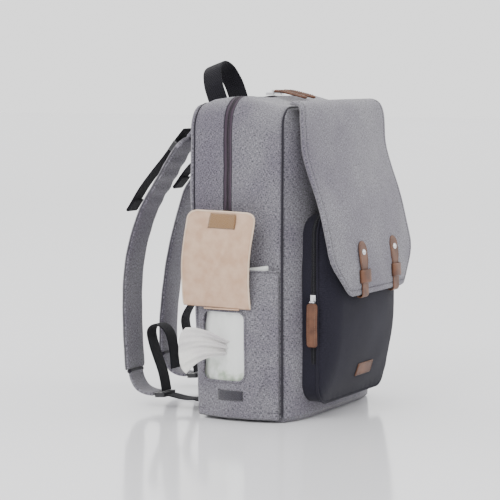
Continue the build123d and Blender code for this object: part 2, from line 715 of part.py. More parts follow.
def lid_patch():
    flat = RectangleRounded(LID_PATCH_WIDTH, LID_PATCH_HEIGHT, 2.0)
    plate = extrude(Plane.YZ * flat, amount=-PATCH_THICK)
    return lid_place() * Pos(-LID_THICK, 0, LID_HEIGHT - LID_PATCH_HEIGHT / 2 - 4) * plate


def bottle_pocket():
    low = mirrored(side_pocket(BOTTLE_BULGE, BOTTLE_TOP_Z) + pocket_floor(BOTTLE_BULGE))
    thicker = (ELASTIC_THICK - SIDE_CLOTH) / 2
    hem = side_pocket(BOTTLE_BULGE, BOTTLE_TOP_Z + ELASTIC, ELASTIC_THICK, thicker, BOTTLE_TOP_Z)
    return {"bottle_pocket": low, "bottle_pocket_elastic": mirrored(hem)}


# ---- carry handle -------------------------------------------------------------------
def handle_arch(radius):
    """A stirrup seen from the front, solid inside, standing on its pivot line."""
    flat = Pos(0, HANDLE_RISE) * Circle(radius)
    flat = flat + Pos(0, HANDLE_RISE / 2) * Rectangle(2 * radius, HANDLE_RISE)
    foot = Pos(0, -HANDLE_WIDTH / 2) * Rectangle(2 * radius, HANDLE_WIDTH)
    return extrude(Plane.XZ * (flat + foot), amount=FAR, both=True)


def handle_place():
    return Pos(0, HANDLE_Y, HANDLE_Z) * Rot(-HANDLE_LEAN, 0, 0)


def carry_handle():
    band = handle_arch(HANDLE_R + HANDLE_THICK / 2) - handle_arch(HANDLE_R - HANDLE_THICK / 2)
    reach = HANDLE_RISE + HANDLE_R + HANDLE_THICK
    side = Circle(HANDLE_WIDTH / 2) + Pos(0, reach / 2) * Rectangle(HANDLE_WIDTH, reach)
    return handle_place() * (band & across(side))


def handle_tabs():
    """Webbing tabs beside the handle's legs, sewn into the back top seam."""
    low = HANDLE_R + HANDLE_THICK / 2 + CLEAR
    side = Circle(HANDLE_TAB_R) + Pos(-9, -9) * Rectangle(18, 18)
    tab = Pos(0, HANDLE_Y, HANDLE_Z) * across(side)
    right = (tab & block((low, low + HANDLE_TAB), ALL, ALL)) - clear_of_body
    return right + mirrored(right)


# ---- shoulder straps ----------------------------------------------------------------
UPPER_TAB_LINE = [(BACK_Y - 12, HEIGHT - 7), (BACK_Y + 5, HEIGHT - 24), (BACK_Y + 21.2, HEIGHT - 40.1)]
FOOT_TAB_LINE = [(BACK_BASE_Y - 9, 14), (BACK_BASE_Y + 6, 14), (BACK_BASE_Y + 20.7, 14)]
# each pad: how far behind the back it hangs, and its height as a share of the bag's
PAD_STEPS = {
    "left": [(40, 0.84), (63, 0.749), (81, 0.678), (93, 0.613), (105, 0.515), (111, 0.402), (111, 0.251)],
    "right": [(42, 0.852), (70, 0.807), (93, 0.757), (110, 0.701), (122, 0.616), (133, 0.52), (142, 0.412)],
}
PAD_STEPS["left"] += [(108, 0.12)]
PAD_STEPS["right"] += [(150, 0.251), (151, 0.12)]
# steps in Y and Z from the end of a pad, and from the middle of its ladder lock
END_STEPS = [(-0.4, -0.8), (-4, -14), (-12, -25), (-24, -30), (-37, -31)]
LOCK_STEP = (-46, -31)
TAIL_STEPS = {
    "left": [(-2.5, 3.9), (3, 29), (16, 63), (20, 83), (12, 92), (0, 90), (-9, 79), (-14, 57), (-16, 35)],
    "right": [(-2.5, 3.9), (2, 25), (13, 55), (18, 76), (13, 91), (1, 106), (-13, 118), (-26, 128)],
}
# the lifter webbing: distance along the pad, and height over the middle of it
LIFTER_STEPS = [(-6, 10.5), (8, 11.2), (21, 11.45), (41, 12.8), (69, 17.5), (97, 20.5), (124, 23.5)]
LIFTER_BUCKLE_OVER = 7.45


def stepped(start, steps):
    return [(start[0] + y, start[1] + z) for y, z in steps]


def over(line, along, height):
    """A point beside a smooth line through the given points, and the slope there in degrees."""
    path = Spline(*line)
    share = min(max(along / path.length, 0.0), 1.0)
    spot, run = path.position_at(share), path.tangent_at(share)
    beyond = along - share * path.length
    y = spot.X + run.X * beyond - run.Y * height
    z = spot.Y + run.Y * beyond + run.X * height
    return y, z, math.degrees(math.atan2(run.Y, run.X))


def moved_along(points, gap):
    """The first point of a line moved forward by gap, so that the line starts later."""
    (y, z), (y2, z2) = points[0], points[1]
    length = math.hypot(y2 - y, z2 - z)
    return [(y + gap * (y2 - y) / length, z + gap * (z2 - z) / length)] + points[1:]


def strap_tongue(points, width, x_mid):
    """Everything past a round end at the start of a line, as wide as the strap."""
    (y, z), (y2, z2) = points[0], points[1]
    slope = math.degrees(math.atan2(z2 - z, y2 - y))
    radius = width / 2
    flat = Pos(0, radius) * Circle(radius) + Pos(0, radius + FAR) * Rectangle(2 * FAR, 2 * FAR)
    thick = extrude(flat, amount=FAR, both=True)
    return Pos(x_mid, y, z) * Rot(slope, 0, 0) * thick


def rounded_ribbon(points, thickness, width, x_mid):
    line = moved_along(points, SWING_GAP)
    return ribbon(line, thickness, width, x_mid) & strap_tongue(line, width, x_mid)


def buckle(y, z, slope, x_mid):
    """A ladder lock: a frame with a middle bar."""
    frame = RectangleRounded(BUCKLE_WIDTH, BUCKLE_LENGTH, 3.0)
    hole = Rectangle(BUCKLE_WIDTH - 2 * BUCKLE_BAR, BUCKLE_LENGTH - 2 * BUCKLE_BAR)
    bar = Rectangle(BUCKLE_WIDTH, BUCKLE_BAR)
    lock = extrude(frame - hole + bar, amount=BUCKLE_THICK / 2, both=True)
    return Pos(x_mid, y, z) * Rot(slope, 0, 0) * lock


def shoulder_strap(side, x_mid):
    pad_line = [UPPER_TAB_LINE[-1]] + [(BACK_Y + y, HEIGHT * share) for y, share in PAD_STEPS[side]]
    (lock,) = stepped(pad_line[-1], [LOCK_STEP])
    web_end = (lock[0] - 8.6, lock[1] - 0.4)
    start = FOOT_TAB_LINE[-1]
    web_line = [start, (start[0] + 0.42 * (web_end[0] - start[0]), start[1] - 1), web_end]
    lifter_line = [over(pad_line, along, height)[:2] for along, height in LIFTER_STEPS]
    webbing = rounded_ribbon(web_line, WEB_THICK, WEB_WIDTH, x_mid)
    tail = ribbon(stepped(lock, TAIL_STEPS[side]), WEB_THICK, WEB_WIDTH, x_mid)
    end_line = stepped(pad_line[-1], END_STEPS)
    pad = rounded_ribbon(pad_line, PAD_THICK, PAD_WIDTH, x_mid)
    lock_over_pad = over(pad_line, LIFTER_BUCKLE_AT, LIFTER_BUCKLE_OVER)
    lifter_buckle = buckle(*lock_over_pad, x_mid) - pad
    lifter = ribbon(lifter_line, WEB_THICK, WEB_WIDTH, x_mid)
    return {
        f"strap_pad_{side}": pad,
        f"strap_end_{side}": ribbon(end_line, STRAP_END_THICK, FOOT_TAB_WIDTH, x_mid),
        f"ladder_lock_{side}": buckle(*lock, -4, x_mid),
        f"strap_webbing_{side}": webbing + tail,
        f"lifter_webbing_{side}": lifter - lifter_buckle,
        f"lifter_buckle_{side}": lifter_buckle,
    }


def strap_tabs(points, thickness, width):
    left = ribbon(points, thickness, width, -STRAP_X) - clear_of_body
    return left + mirrored(left)


# ---- the whole bag ------------------------------------------------------------------
parts = {}
parts.update(body_panels())
parts.update(mouth_panels())
parts.update(inner_layers())
parts["inner_pocket"] = inner_pocket()
parts.update(zip_tapes())
parts["seam_piping"] = piping()
for side, sign in (("left", -1), ("right", 1)):
    parts[f"zip_slider_{side}"] = zip_slider(sign * SLIDER_X)
    parts[f"zip_pull_{side}"] = zip_pull(sign * SLIDER_X)
    parts.update(shoulder_strap(side, sign * STRAP_X))
parts.update(front_pocket())
parts["pocket_snaps"] = pocket_snaps()
parts["pocket_label"] = label()
parts["pocket_slider"] = pocket_slider()
parts["pocket_pull"] = pocket_pull()
parts["flap_hem"] = flap_hem()
parts["front_flap"] = flap_layer(-FLAP_OUT, FLAP_OUT) & flap_outline(0)
parts["flap_lining"] = flap_lining()
parts["flap_leather"] = flap_leather()
parts["flap_studs"] = flap_studs()
parts["flap_snaps"] = flap_snaps()
parts.update(wipes_pocket())
parts["wipes_pack"] = wipes_pack()
parts["wipe_sheet"] = wipe_sheet()
parts["wipes_lid"] = wipes_lid()
parts["lid_patch"] = lid_patch()
parts.update(bottle_pocket())
parts["carry_handle"] = carry_handle()
parts["handle_tabs"] = handle_tabs()
parts["upper_strap_tabs"] = strap_tabs(UPPER_TAB_LINE, STRAP_TAB_THICK, STRAP_TAB_WIDTH)
parts["lower_strap_tabs"] = strap_tabs(FOOT_TAB_LINE, FOOT_TAB_THICK, FOOT_TAB_WIDTH)

os.makedirs("parts", exist_ok=True)
for name, shape in parts.items():
    export_step(shape, f"parts/{name}.step")
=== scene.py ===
import math

import bpy
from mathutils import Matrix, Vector, noise


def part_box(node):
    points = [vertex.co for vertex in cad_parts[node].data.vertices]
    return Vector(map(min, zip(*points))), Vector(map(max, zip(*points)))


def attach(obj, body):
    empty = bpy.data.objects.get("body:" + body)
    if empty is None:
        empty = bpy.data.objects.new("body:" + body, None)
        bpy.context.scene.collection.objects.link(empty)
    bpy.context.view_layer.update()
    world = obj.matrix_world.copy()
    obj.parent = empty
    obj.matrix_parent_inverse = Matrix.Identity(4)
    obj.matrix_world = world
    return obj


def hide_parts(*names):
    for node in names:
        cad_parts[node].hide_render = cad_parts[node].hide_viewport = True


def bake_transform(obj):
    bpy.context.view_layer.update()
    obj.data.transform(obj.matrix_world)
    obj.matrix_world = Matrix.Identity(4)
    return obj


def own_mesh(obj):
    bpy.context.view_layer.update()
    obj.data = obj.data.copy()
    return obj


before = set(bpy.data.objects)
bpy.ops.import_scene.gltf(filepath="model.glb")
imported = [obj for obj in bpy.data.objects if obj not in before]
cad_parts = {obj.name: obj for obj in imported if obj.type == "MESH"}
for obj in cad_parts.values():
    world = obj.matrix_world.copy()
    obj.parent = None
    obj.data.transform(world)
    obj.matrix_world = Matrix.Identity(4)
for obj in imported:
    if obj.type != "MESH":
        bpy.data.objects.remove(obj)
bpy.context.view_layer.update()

MM = 0.001

bl_info = {
    "name": "Backpack diaper bag",
    "version": (1, 0, 0),
    "blender": (4, 5, 0),
    "location": "View3D > Sidebar > Bag",
    "description": "Fabric, leather and webbing for a backpack style diaper bag",
    "category": "Object",
}

# sizes that the design fixes, in millimetres: front is -Y, up is +Z
FRONT_SEAM_Y = -65.0
ZIP_Y = 12.0
ZIP_LOW_Z = 266.0
BACK_BASE_Y = 59.0
BACK_TOP_Y = 70.0
BACK_BEND_Z = 285.0
FLOOR_Z = -0.0006  # in metres, just under the base
BASE_ROUND = 3.0
CORD_INSET = 10.0  # how far the back seam lies in front of the back
SIDE_SHARE = 0.37  # share of the gusset up one side
CORNER_SHARE = 0.08  # and round one top corner
SIDE_POCKET_Y = -4.0
SIDE_POCKET_HALF = 58.0
WIPES_BULGE = 10.5
HEM_Z = 12.5  # the seam above the base
WINDOW_Y = 13.0
WINDOW_Z = 95.0
LID_X = -149.2
LID_Z = 143.0
STRAP_X = 84.0
FLAP_TOP = (-75.4, 402.2)  # where the flap leaves its hem, in Y and Z
POCKET_MIDDLE_Z = 142.0
POCKET_HALF_Z = 120.0
BUTTON_X = 50.0  # the two leather straps


# ---- settings shown in the sidebar --------------------------------------------------
def length(name, description, default):
    """A size in metres, shown as a length."""
    return bpy.props.FloatProperty(
        name=name, description=description, default=default, min=0.0, subtype="DISTANCE", unit="LENGTH"
    )


class BodySettings(bpy.types.PropertyGroup):
    half_width: length("Half width", "Half of the bag's width", 0.133)
    height: length("Height", "Height of the front and back top edges", 0.398)
    crown: length("Crown", "How much higher the top is along the zip", 0.013)
    cloth: length("Cloth", "Thickness of the padded fabric", 0.004)
    wrinkle: length("Wrinkle", "Depth of the soft dents in the fabric", 0.0022)
    piping: length("Piping", "Radius of the cords in the seams", 0.0017)


class PocketSettings(bpy.types.PropertyGroup):
    half_width: length("Half width", "Half of the front pocket's width", 0.105)
    seam_y: length("Seam depth", "Distance of the front seam in front of the middle", 0.101)
    fullness: length("Fullness", "How far the padded face stands out from its seam", 0.031)
    corner: length("Corner", "Radius of the pocket's corners", 0.026)


class FlapSettings(bpy.types.PropertyGroup):
    half_width: length("Half width", "Half of the flap's width", 0.130)
    thickness: length("Thickness", "Thickness of the padded flap", 0.0055)
    bottom: length("Bottom", "Height of the lower edge", 0.159)
    chamfer: length("Chamfer", "Height where the cut corners start", 0.205)
    tip_half: length("Tip half width", "Half of the straight lower edge", 0.084)
    stitch: length("Stitch", "Length of one stitch", 0.0026)


class StrapSettings(bpy.types.PropertyGroup):
    pad_width: length("Pad width", "Width of the shoulder pads", 0.046)
    pad_thickness: length("Pad thickness", "Thickness of the shoulder pads", 0.009)
    webbing_width: length("Webbing width", "Width of the adjusting webbing", 0.025)
    handle_width: length("Handle width", "Width of the carry handle", 0.028)


class LookSettings(bpy.types.PropertyGroup):
    fleck: bpy.props.FloatProperty(
        name="Fleck", description="Contrast between light and dark threads", default=0.75, min=0.0, max=1.0
    )
    light: bpy.props.FloatProperty(
        name="Light", description="Strength of the studio lights", default=1.0, min=0.0, max=5.0
    )


def settings(group):
    return getattr(bpy.context.scene, "bag_" + group)


# ---- meshes -------------------------------------------------------------------------
def rounded(share):
    """How far a rounded edge has risen after a share of its width."""
    return math.sqrt(max(0.0, 1 - (1 - min(share, 1.0)) ** 2))


def bell(x):
    """A soft hump, 1 in the middle."""
    return math.exp(-(x ** 2))


def new_piece(name, verts, faces, uvs, materials, slots=None):
    """A smooth-shaded mesh from points in millimetres, with UVs in metres."""
    mesh = bpy.data.meshes.new(name)
    mesh.from_pydata([Vector(v) * MM for v in verts], [], faces)
    layer = mesh.uv_layers.new(name="UVMap")
    for loop in mesh.loops:
        u, v = uvs[loop.vertex_index]
        layer.data[loop.index].uv = (u * MM, v * MM)
    for material in materials:
        mesh.materials.append(material)
    for i, polygon in enumerate(mesh.polygons):
        polygon.use_smooth = True
        if slots:
            polygon.material_index = slots[i]
    mesh.update()
    obj = bpy.data.objects.new(name, mesh)
    bpy.context.scene.collection.objects.link(obj)
    return obj


def surface_normal(surface, u, v):
    """The direction across a surface, by small steps along it."""
    step = 1e-3
    du = surface(min(u + step, 1), v) - surface(max(u - step, 0), v)
    dv = surface(u, min(v + step, 1)) - surface(u, max(v - step, 0))
    across = du.cross(dv)
    return across.normalized() if across.length > 1e-9 else Vector((0, 0, 1))


def pad(name, surface, counts, size, thick, edge, materials, out=0.5, flip=False, groove=None):
    """A closed padded sheet over surface(u, v), rounded off within edge of its border.

    out is the share of the thickness on the outer side, and groove is (distance from the
    border, width, depth) of a stitched line."""
    nu, nv = counts
    outer, inner, verts, uvs = {}, {}, [], []
    sign = -1.0 if flip else 1.0
    for i in range(nu + 1):
        for j in range(nv + 1):
            u, v = i / nu, j / nv
            point = surface(u, v)
            normal = surface_normal(surface, u, v) * sign
            away = min(min(u, 1 - u) * size[0], min(v, 1 - v) * size[1])
            full = rounded(away / edge)
            dent = 0.0
            if groove:
                dent = groove[2] * bell((away - groove[0]) / groove[1])
            outer[i, j] = len(verts)
            verts.append(point + normal * (thick * out * full - dent))
            uvs.append((u * size[0], v * size[1]))
            if 0 < i < nu and 0 < j < nv:
                inner[i, j] = len(verts)
                verts.append(point - normal * (thick * (1 - out) * full))
                uvs.append((u * size[0], v * size[1]))
            else:
                inner[i, j] = outer[i, j]
    faces, slots = [], []
    for i in range(nu):
        for j in range(nv):
            ring = [(i, j), (i + 1, j), (i + 1, j + 1), (i, j + 1)]
            top = [outer[k] for k in ring]
            low = [inner[k] for k in reversed(ring)]
            if flip:
                top.reverse()
                low.reverse()
            faces.append(top)
            slots.append(0)
            if set(low) != set(top):
                faces.append(low)
                slots.append(len(materials) - 1)
    return new_piece(name, verts, faces, uvs, materials, slots)


def smooth_line(points, count):
    """A smooth line through points, evenly resampled."""
    points = [Vector(p) for p in points]
    ends = [2 * points[0] - points[1]] + points + [2 * points[-1] - points[-2]]
    fine = []
    for a, b, c, d in zip(ends, ends[1:], ends[2:], ends[3:]):
        for k in range(12):
            t = k / 12
            fine.append(
                0.5 * (2 * b + (c - a) * t + (2 * a - 5 * b + 4 * c - d) * t * t
                       + (3 * b - a - 3 * c + d) * t ** 3)
            )
    fine.append(points[-1])
    return even_line(fine, count)


def even_line(fine, count):
    """The same line at count + 1 evenly spaced points."""
    reach = [0.0]
    for a, b in zip(fine, fine[1:]):
        reach.append(reach[-1] + (b - a).length)
    line, k = [], 0
    for i in range(count + 1):
        want = reach[-1] * i / count
        while k < len(fine) - 2 and reach[k + 1] < want:
            k += 1
        step = max(reach[k + 1] - reach[k], 1e-9)
        line.append(fine[k].lerp(fine[k + 1], min((want - reach[k]) / step, 1.0)))
    return line


def at(line, share):
    """A point part of the way along an evenly spaced line."""
    place = min(max(share, 0.0), 1.0) * (len(line) - 1)
    k = min(int(place), len(line) - 2)
    return line[k].lerp(line[k + 1], place - k)


def tube(name, points, radius, material, closed=False, sides=8, taper=False):
    """A round cord along points."""
    count = len(points)
    verts, uvs, faces = [], [], []
    side = None
    reach = 0.0
    for i, p in enumerate(points):
        before = points[i - 1] if (i or closed) else p
        after = points[(i + 1) % count] if (i < count - 1 or closed) else p
        run = (after - before).normalized()
        if side is None:
            side = run.orthogonal().normalized()
        side = (side - run * side.dot(run)).normalized()
        other = run.cross(side)
        if i:
            reach += (p - points[i - 1]).length
        r = radius
        if taper and not closed:
            r *= math.sqrt(max(0.02, 1 - (1 - min(min(i, count - 1 - i) / 2, 1.0)) ** 2))
        for k in range(sides):
            angle = 2 * math.pi * k / sides
            verts.append(p + side * (r * math.cos(angle)) + other * (r * math.sin(angle)))
            uvs.append((k * 2 * math.pi * radius / sides, reach))
    for i in range(count if closed else count - 1):
        a, b = i * sides, ((i + 1) % count) * sides
        for k in range(sides):
            n = (k + 1) % sides
            faces.append([a + k, a + n, b + n, b + k])
    if not closed:
        faces.append(list(reversed(range(sides))))
        faces.append([(count - 1) * sides + k for k in range(sides)])
    return new_piece(name, verts, faces, uvs, [material])


def band(name, line, middle_x, width, thick, material, square=0.35, swell=None, section=20):
    """A strap whose line lies in Y-Z and whose width runs along X, with rounded ends."""
    count = len(line) - 1
    total = sum((b - a).length for a, b in zip(line, line[1:]))
    verts, uvs, faces = [], [], []
    for i, p in enumerate(line):
        run = (line[min(i + 1, count)] - line[max(i - 1, 0)]).normalized()
        normal = Vector((0, -run.z, run.y))
        along = total * i / count
        near = min(along, total - along)
        end = math.sqrt(max(0.04, 1 - (1 - min(near / (thick * 0.5 + 0.1), 1.0)) ** 2))
        for k in range(section):
            angle = 2 * math.pi * k / section
            c, s = math.cos(angle), math.sin(angle)
            across = math.copysign(abs(c) ** square, c) * width / 2
            up = math.copysign(abs(s) ** 0.6, s) * thick / 2 * end
            if swell:
                across, up = swell(i / count, across, up)
            verts.append(p + Vector((middle_x + across, 0, 0)) + normal * up)
            uvs.append((across, along))
    for i in range(count):
        for k in range(section):
            n = (k + 1) % section
            a, b = i * section, (i + 1) * section
            faces.append([a + k, b + k, b + n, a + n])
    faces.append(list(range(section)))
    faces.append([count * section + k for k in reversed(range(section))])
    return new_piece(name, verts, faces, uvs, [material])


def yz(points):
    return [Vector((0, y, z)) for y, z in points]


def in_groups(*pieces):
    """Make several pieces into one, keeping each one's materials."""
    bpy.ops.object.select_all(action="DESELECT")
    for piece in pieces:
        piece.select_set(True)
    bpy.context.view_layer.objects.active = pieces[0]
    bpy.ops.object.join()
    return pieces[0]


# ---- repeated stitches and teeth ----------------------------------------------------
def stitch_tree():
    """Small rounded rods set along a curve: stitches, or the teeth of a zip."""
    tree = bpy.data.node_groups.get("Rods along a curve")
    if tree:
        return tree
    tree = bpy.data.node_groups.new("Rods along a curve", "GeometryNodeTree")
    face = tree.interface
    face.new_socket("Geometry", in_out="INPUT", socket_type="NodeSocketGeometry")
    for name, default in (("Spacing", 0.004), ("Length", 0.003), ("Radius", 0.0004), ("Follow", 1.0)):
        socket = face.new_socket(name, in_out="INPUT", socket_type="NodeSocketFloat")
        socket.default_value = default
    face.new_socket("Direction", in_out="INPUT", socket_type="NodeSocketVector")
    face.new_socket("Material", in_out="INPUT", socket_type="NodeSocketMaterial")
    face.new_socket("Geometry", in_out="OUTPUT", socket_type="NodeSocketGeometry")
    nodes, links = tree.nodes, tree.links
    start, end = nodes.new("NodeGroupInput"), nodes.new("NodeGroupOutput")
    resample = nodes.new("GeometryNodeResampleCurve")
    resample.mode = "LENGTH"
    links.new(start.outputs["Geometry"], resample.inputs["Curve"])
    links.new(start.outputs["Spacing"], resample.inputs["Length"])
    rod = nodes.new("GeometryNodeMeshCylinder")
    rod.inputs["Vertices"].default_value = 6
    links.new(start.outputs["Radius"], rod.inputs["Radius"])
    links.new(start.outputs["Length"], rod.inputs["Depth"])
    tangent = nodes.new("GeometryNodeInputTangent")
    mix = nodes.new("ShaderNodeMix")
    mix.data_type = "VECTOR"
    links.new(start.outputs["Follow"], mix.inputs[0])
    links.new(start.outputs["Direction"], mix.inputs[4])
    links.new(tangent.outputs[0], mix.inputs[5])
    turn = nodes.new("FunctionNodeAlignRotationToVector")
    turn.axis = "Z"
    links.new(mix.outputs[1], turn.inputs["Vector"])
    place = nodes.new("GeometryNodeInstanceOnPoints")
    links.new(resample.outputs["Curve"], place.inputs["Points"])
    links.new(rod.outputs["Mesh"], place.inputs["Instance"])
    links.new(turn.outputs["Rotation"], place.inputs["Rotation"])
    real = nodes.new("GeometryNodeRealizeInstances")
    links.new(place.outputs["Instances"], real.inputs["Geometry"])
    paint = nodes.new("GeometryNodeSetMaterial")
    links.new(real.outputs["Geometry"], paint.inputs["Geometry"])
    links.new(start.outputs["Material"], paint.inputs["Material"])
    links.new(paint.outputs["Geometry"], end.inputs["Geometry"])
    return tree


def rods(name, lines, material, spacing, long, radius, direction=None):
    """Stitches along lines of points, or teeth that all point in one direction."""
    curve = bpy.data.curves.new(name, "CURVE")
    curve.dimensions = "3D"
    for points in lines:
        spline = curve.splines.new("POLY")
        spline.points.add(len(points) - 1)
        for target, point in zip(spline.points, points):
            target.co = (*(point * MM), 1.0)
    holder = bpy.data.objects.new(name + "_line", curve)
    bpy.context.scene.collection.objects.link(holder)
    tree = stitch_tree()
    modifier = holder.modifiers.new("Rods", "NODES")
    modifier.node_group = tree
    values = {
        "Spacing": spacing * MM,
        "Length": long * MM,
        "Radius": radius * MM,
        "Follow": 0.0 if direction else 1.0,
        "Direction": direction or (0.0, 0.0, 1.0),
        "Material": material,
    }
    for item in tree.interface.items_tree:
        if item.in_out == "INPUT" and item.name in values:
            modifier[item.identifier] = values[item.name]
    bpy.context.view_layer.update()
    graph = bpy.context.evaluated_depsgraph_get()
    mesh = bpy.data.meshes.new_from_object(holder.evaluated_get(graph))
    bpy.data.objects.remove(holder)
    mesh.name = name
    obj = bpy.data.objects.new(name, mesh)
    bpy.context.scene.collection.objects.link(obj)
    for polygon in mesh.polygons:
        polygon.use_smooth = True
    return obj


# ---- materials ----------------------------------------------------------------------
def weave_group():
    """Threads in two directions: a fleck for the colour and a height for the bump."""
    group = bpy.data.node_groups.get("Weave")
    if group:
        return group
    group = bpy.data.node_groups.new("Weave", "ShaderNodeTree")
    face = group.interface
    for name, default in (("Thread", 0.0011), ("Streak", 5.0)):
        face.new_socket(name, in_out="INPUT", socket_type="NodeSocketFloat").default_value = default
    face.new_socket("Fleck", in_out="OUTPUT", socket_type="NodeSocketFloat")
    face.new_socket("Height", in_out="OUTPUT", socket_type="NodeSocketFloat")
    nodes, links = group.nodes, group.links
    start, end = nodes.new("NodeGroupInput"), nodes.new("NodeGroupOutput")
    uv = nodes.new("ShaderNodeUVMap")
    uv.uv_map = "UVMap"
    split = nodes.new("ShaderNodeSeparateXYZ")
    links.new(uv.outputs[0], split.inputs[0])

    def math_node(kind, a, b=None):
        node = nodes.new("ShaderNodeMath")
        node.operation = kind
        for socket, value in zip(node.inputs, (a, b)):
            if value is None:
                continue
            if isinstance(value, float):
                socket.default_value = value
            else:
                links.new(value, socket)
        return node.outputs[0]

    x = math_node("DIVIDE", split.outputs[0], start.outputs["Thread"])
    y = math_node("DIVIDE", split.outputs[1], start.outputs["Thread"])
    flecks = []
    for first, second in ((x, math_node("DIVIDE", y, start.outputs["Streak"])),
                          (math_node("DIVIDE", x, start.outputs["Streak"]), y)):
        join = nodes.new("ShaderNodeCombineXYZ")
        links.new(first, join.inputs[0])
        links.new(second, join.inputs[1])
        spots = nodes.new("ShaderNodeTexNoise")
        spots.inputs["Scale"].default_value = 1.0
        spots.inputs["Detail"].default_value = 2.0
        spots.inputs["Roughness"].default_value = 0.7
        links.new(join.outputs[0], spots.inputs["Vector"])
        flecks.append(spots.outputs["Fac"])
    links.new(math_node("MULTIPLY", math_node("ADD", *flecks), 0.5), end.inputs["Fleck"])
    waves = [math_node("SINE", math_node("MULTIPLY", value, 2.8)) for value in (x, y)]
    height = math_node("MULTIPLY", *waves)
    links.new(math_node("ADD", height, flecks[0]), end.inputs["Height"])
    return group


def grain_group():
    """Leather grain: cells for the bump, and slow cloudy changes for the colour."""
    group = bpy.data.node_groups.get("Grain")
    if group:
        return group
    group = bpy.data.node_groups.new("Grain", "ShaderNodeTree")
    face = group.interface
    face.new_socket("Cell", in_out="INPUT", socket_type="NodeSocketFloat").default_value = 900.0
    face.new_socket("Cloud", in_out="OUTPUT", socket_type="NodeSocketFloat")
    face.new_socket("Height", in_out="OUTPUT", socket_type="NodeSocketFloat")
    nodes, links = group.nodes, group.links
    start, end = nodes.new("NodeGroupInput"), nodes.new("NodeGroupOutput")
    place = nodes.new("ShaderNodeTexCoord")
    cells = nodes.new("ShaderNodeTexVoronoi")
    cells.feature = "DISTANCE_TO_EDGE"
    links.new(place.outputs["Object"], cells.inputs["Vector"])
    links.new(start.outputs["Cell"], cells.inputs["Scale"])
    cloud = nodes.new("ShaderNodeTexNoise")
    cloud.inputs["Scale"].default_value = 70.0
    cloud.inputs["Detail"].default_value = 5.0
    links.new(place.outputs["Object"], cloud.inputs["Vector"])
    links.new(cloud.outputs["Fac"], end.inputs["Cloud"])
    links.new(cells.outputs["Distance"], end.inputs["Height"])
    return group


def base_material(name, roughness, metallic=0.0):
    material = bpy.data.materials.new(name)
    material.use_nodes = True
    nodes = material.node_tree.nodes
    shader = nodes["Principled BSDF"]
    shader.inputs["Roughness"].default_value = roughness
    shader.inputs["Metallic"].default_value = metallic
    return material, nodes, material.node_tree.links, shader


def ramp_between(nodes, links, value, dark, light, low=0.3, high=0.7, middle=None):
    ramp = nodes.new("ShaderNodeValToRGB")
    ramp.color_ramp.elements[0].position = low
    ramp.color_ramp.elements[1].position = high
    ramp.color_ramp.elements[0].color = (*dark, 1.0)
    ramp.color_ramp.elements[1].color = (*light, 1.0)
    if middle:
        ramp.color_ramp.elements.new((low + high) / 2).color = (*middle, 1.0)
    links.new(value, ramp.inputs["Fac"])
    return ramp.outputs["Color"]


def add_bump(nodes, links, shader, height, strength, distance):
    bump = nodes.new("ShaderNodeBump")
    bump.inputs["Strength"].default_value = strength
    bump.inputs["Distance"].default_value = distance
    links.new(height, bump.inputs["Height"])
    links.new(bump.outputs["Normal"], shader.inputs["Normal"])


def fabric(name, dark, light, thread=0.0011, streak=5.0, sheen=0.3, bump=0.35, spread=(0.36, 0.64)):
    """Woven cloth whose threads differ in colour."""
    material, nodes, links, shader = base_material(name, 0.9)
    weave = nodes.new("ShaderNodeGroup")
    weave.node_tree = weave_group()
    weave.inputs["Thread"].default_value = thread
    weave.inputs["Streak"].default_value = streak
    color = ramp_between(nodes, links, weave.outputs["Fleck"], dark, light, *spread)
    cloud = nodes.new("ShaderNodeTexNoise")
    cloud.inputs["Scale"].default_value = 14.0
    cloud.inputs["Detail"].default_value = 3.0
    place = nodes.new("ShaderNodeTexCoord")
    links.new(place.outputs["Object"], cloud.inputs["Vector"])
    wear = ramp_between(nodes, links, cloud.outputs["Fac"], (0.8, 0.76, 0.84), (1.12, 1.12, 1.12), 0.35, 0.65)
    mix = nodes.new("ShaderNodeMix")
    mix.data_type = "RGBA"
    mix.blend_type = "MULTIPLY"
    mix.inputs[0].default_value = 1.0
    links.new(color, mix.inputs[6])
    links.new(wear, mix.inputs[7])
    links.new(mix.outputs[2], shader.inputs["Base Color"])
    shader.inputs["Sheen Weight"].default_value = sheen
    shader.inputs["Sheen Roughness"].default_value = 0.5
    shader.inputs["Specular IOR Level"].default_value = 0.2
    add_bump(nodes, links, shader, weave.outputs["Height"], bump, 0.0004)
    return material


def leather(name, dark, light, roughness=0.5, cell=900.0, bump=0.3):
    material, nodes, links, shader = base_material(name, roughness)
    grain = nodes.new("ShaderNodeGroup")
    grain.node_tree = grain_group()
    grain.inputs["Cell"].default_value = cell
    color = ramp_between(nodes, links, grain.outputs["Cloud"], dark, light, 0.35, 0.68)
    links.new(color, shader.inputs["Base Color"])
    add_bump(nodes, links, shader, grain.outputs["Height"], bump, 0.0003)
    return material


def hard(name, color, roughness, metallic=0.0):
    """Metal or plastic with a faint unevenness."""
    material, nodes, links, shader = base_material(name, roughness, metallic)
    spots = nodes.new("ShaderNodeTexNoise")
    spots.inputs["Scale"].default_value = 160.0
    place = nodes.new("ShaderNodeTexCoord")
    links.new(place.outputs["Object"], spots.inputs["Vector"])
    darker = tuple(c * 0.75 for c in color)
    links.new(ramp_between(nodes, links, spots.outputs["Fac"], darker, color), shader.inputs["Base Color"])
    add_bump(nodes, links, shader, spots.outputs["Fac"], 0.08, 0.0003)
    return material


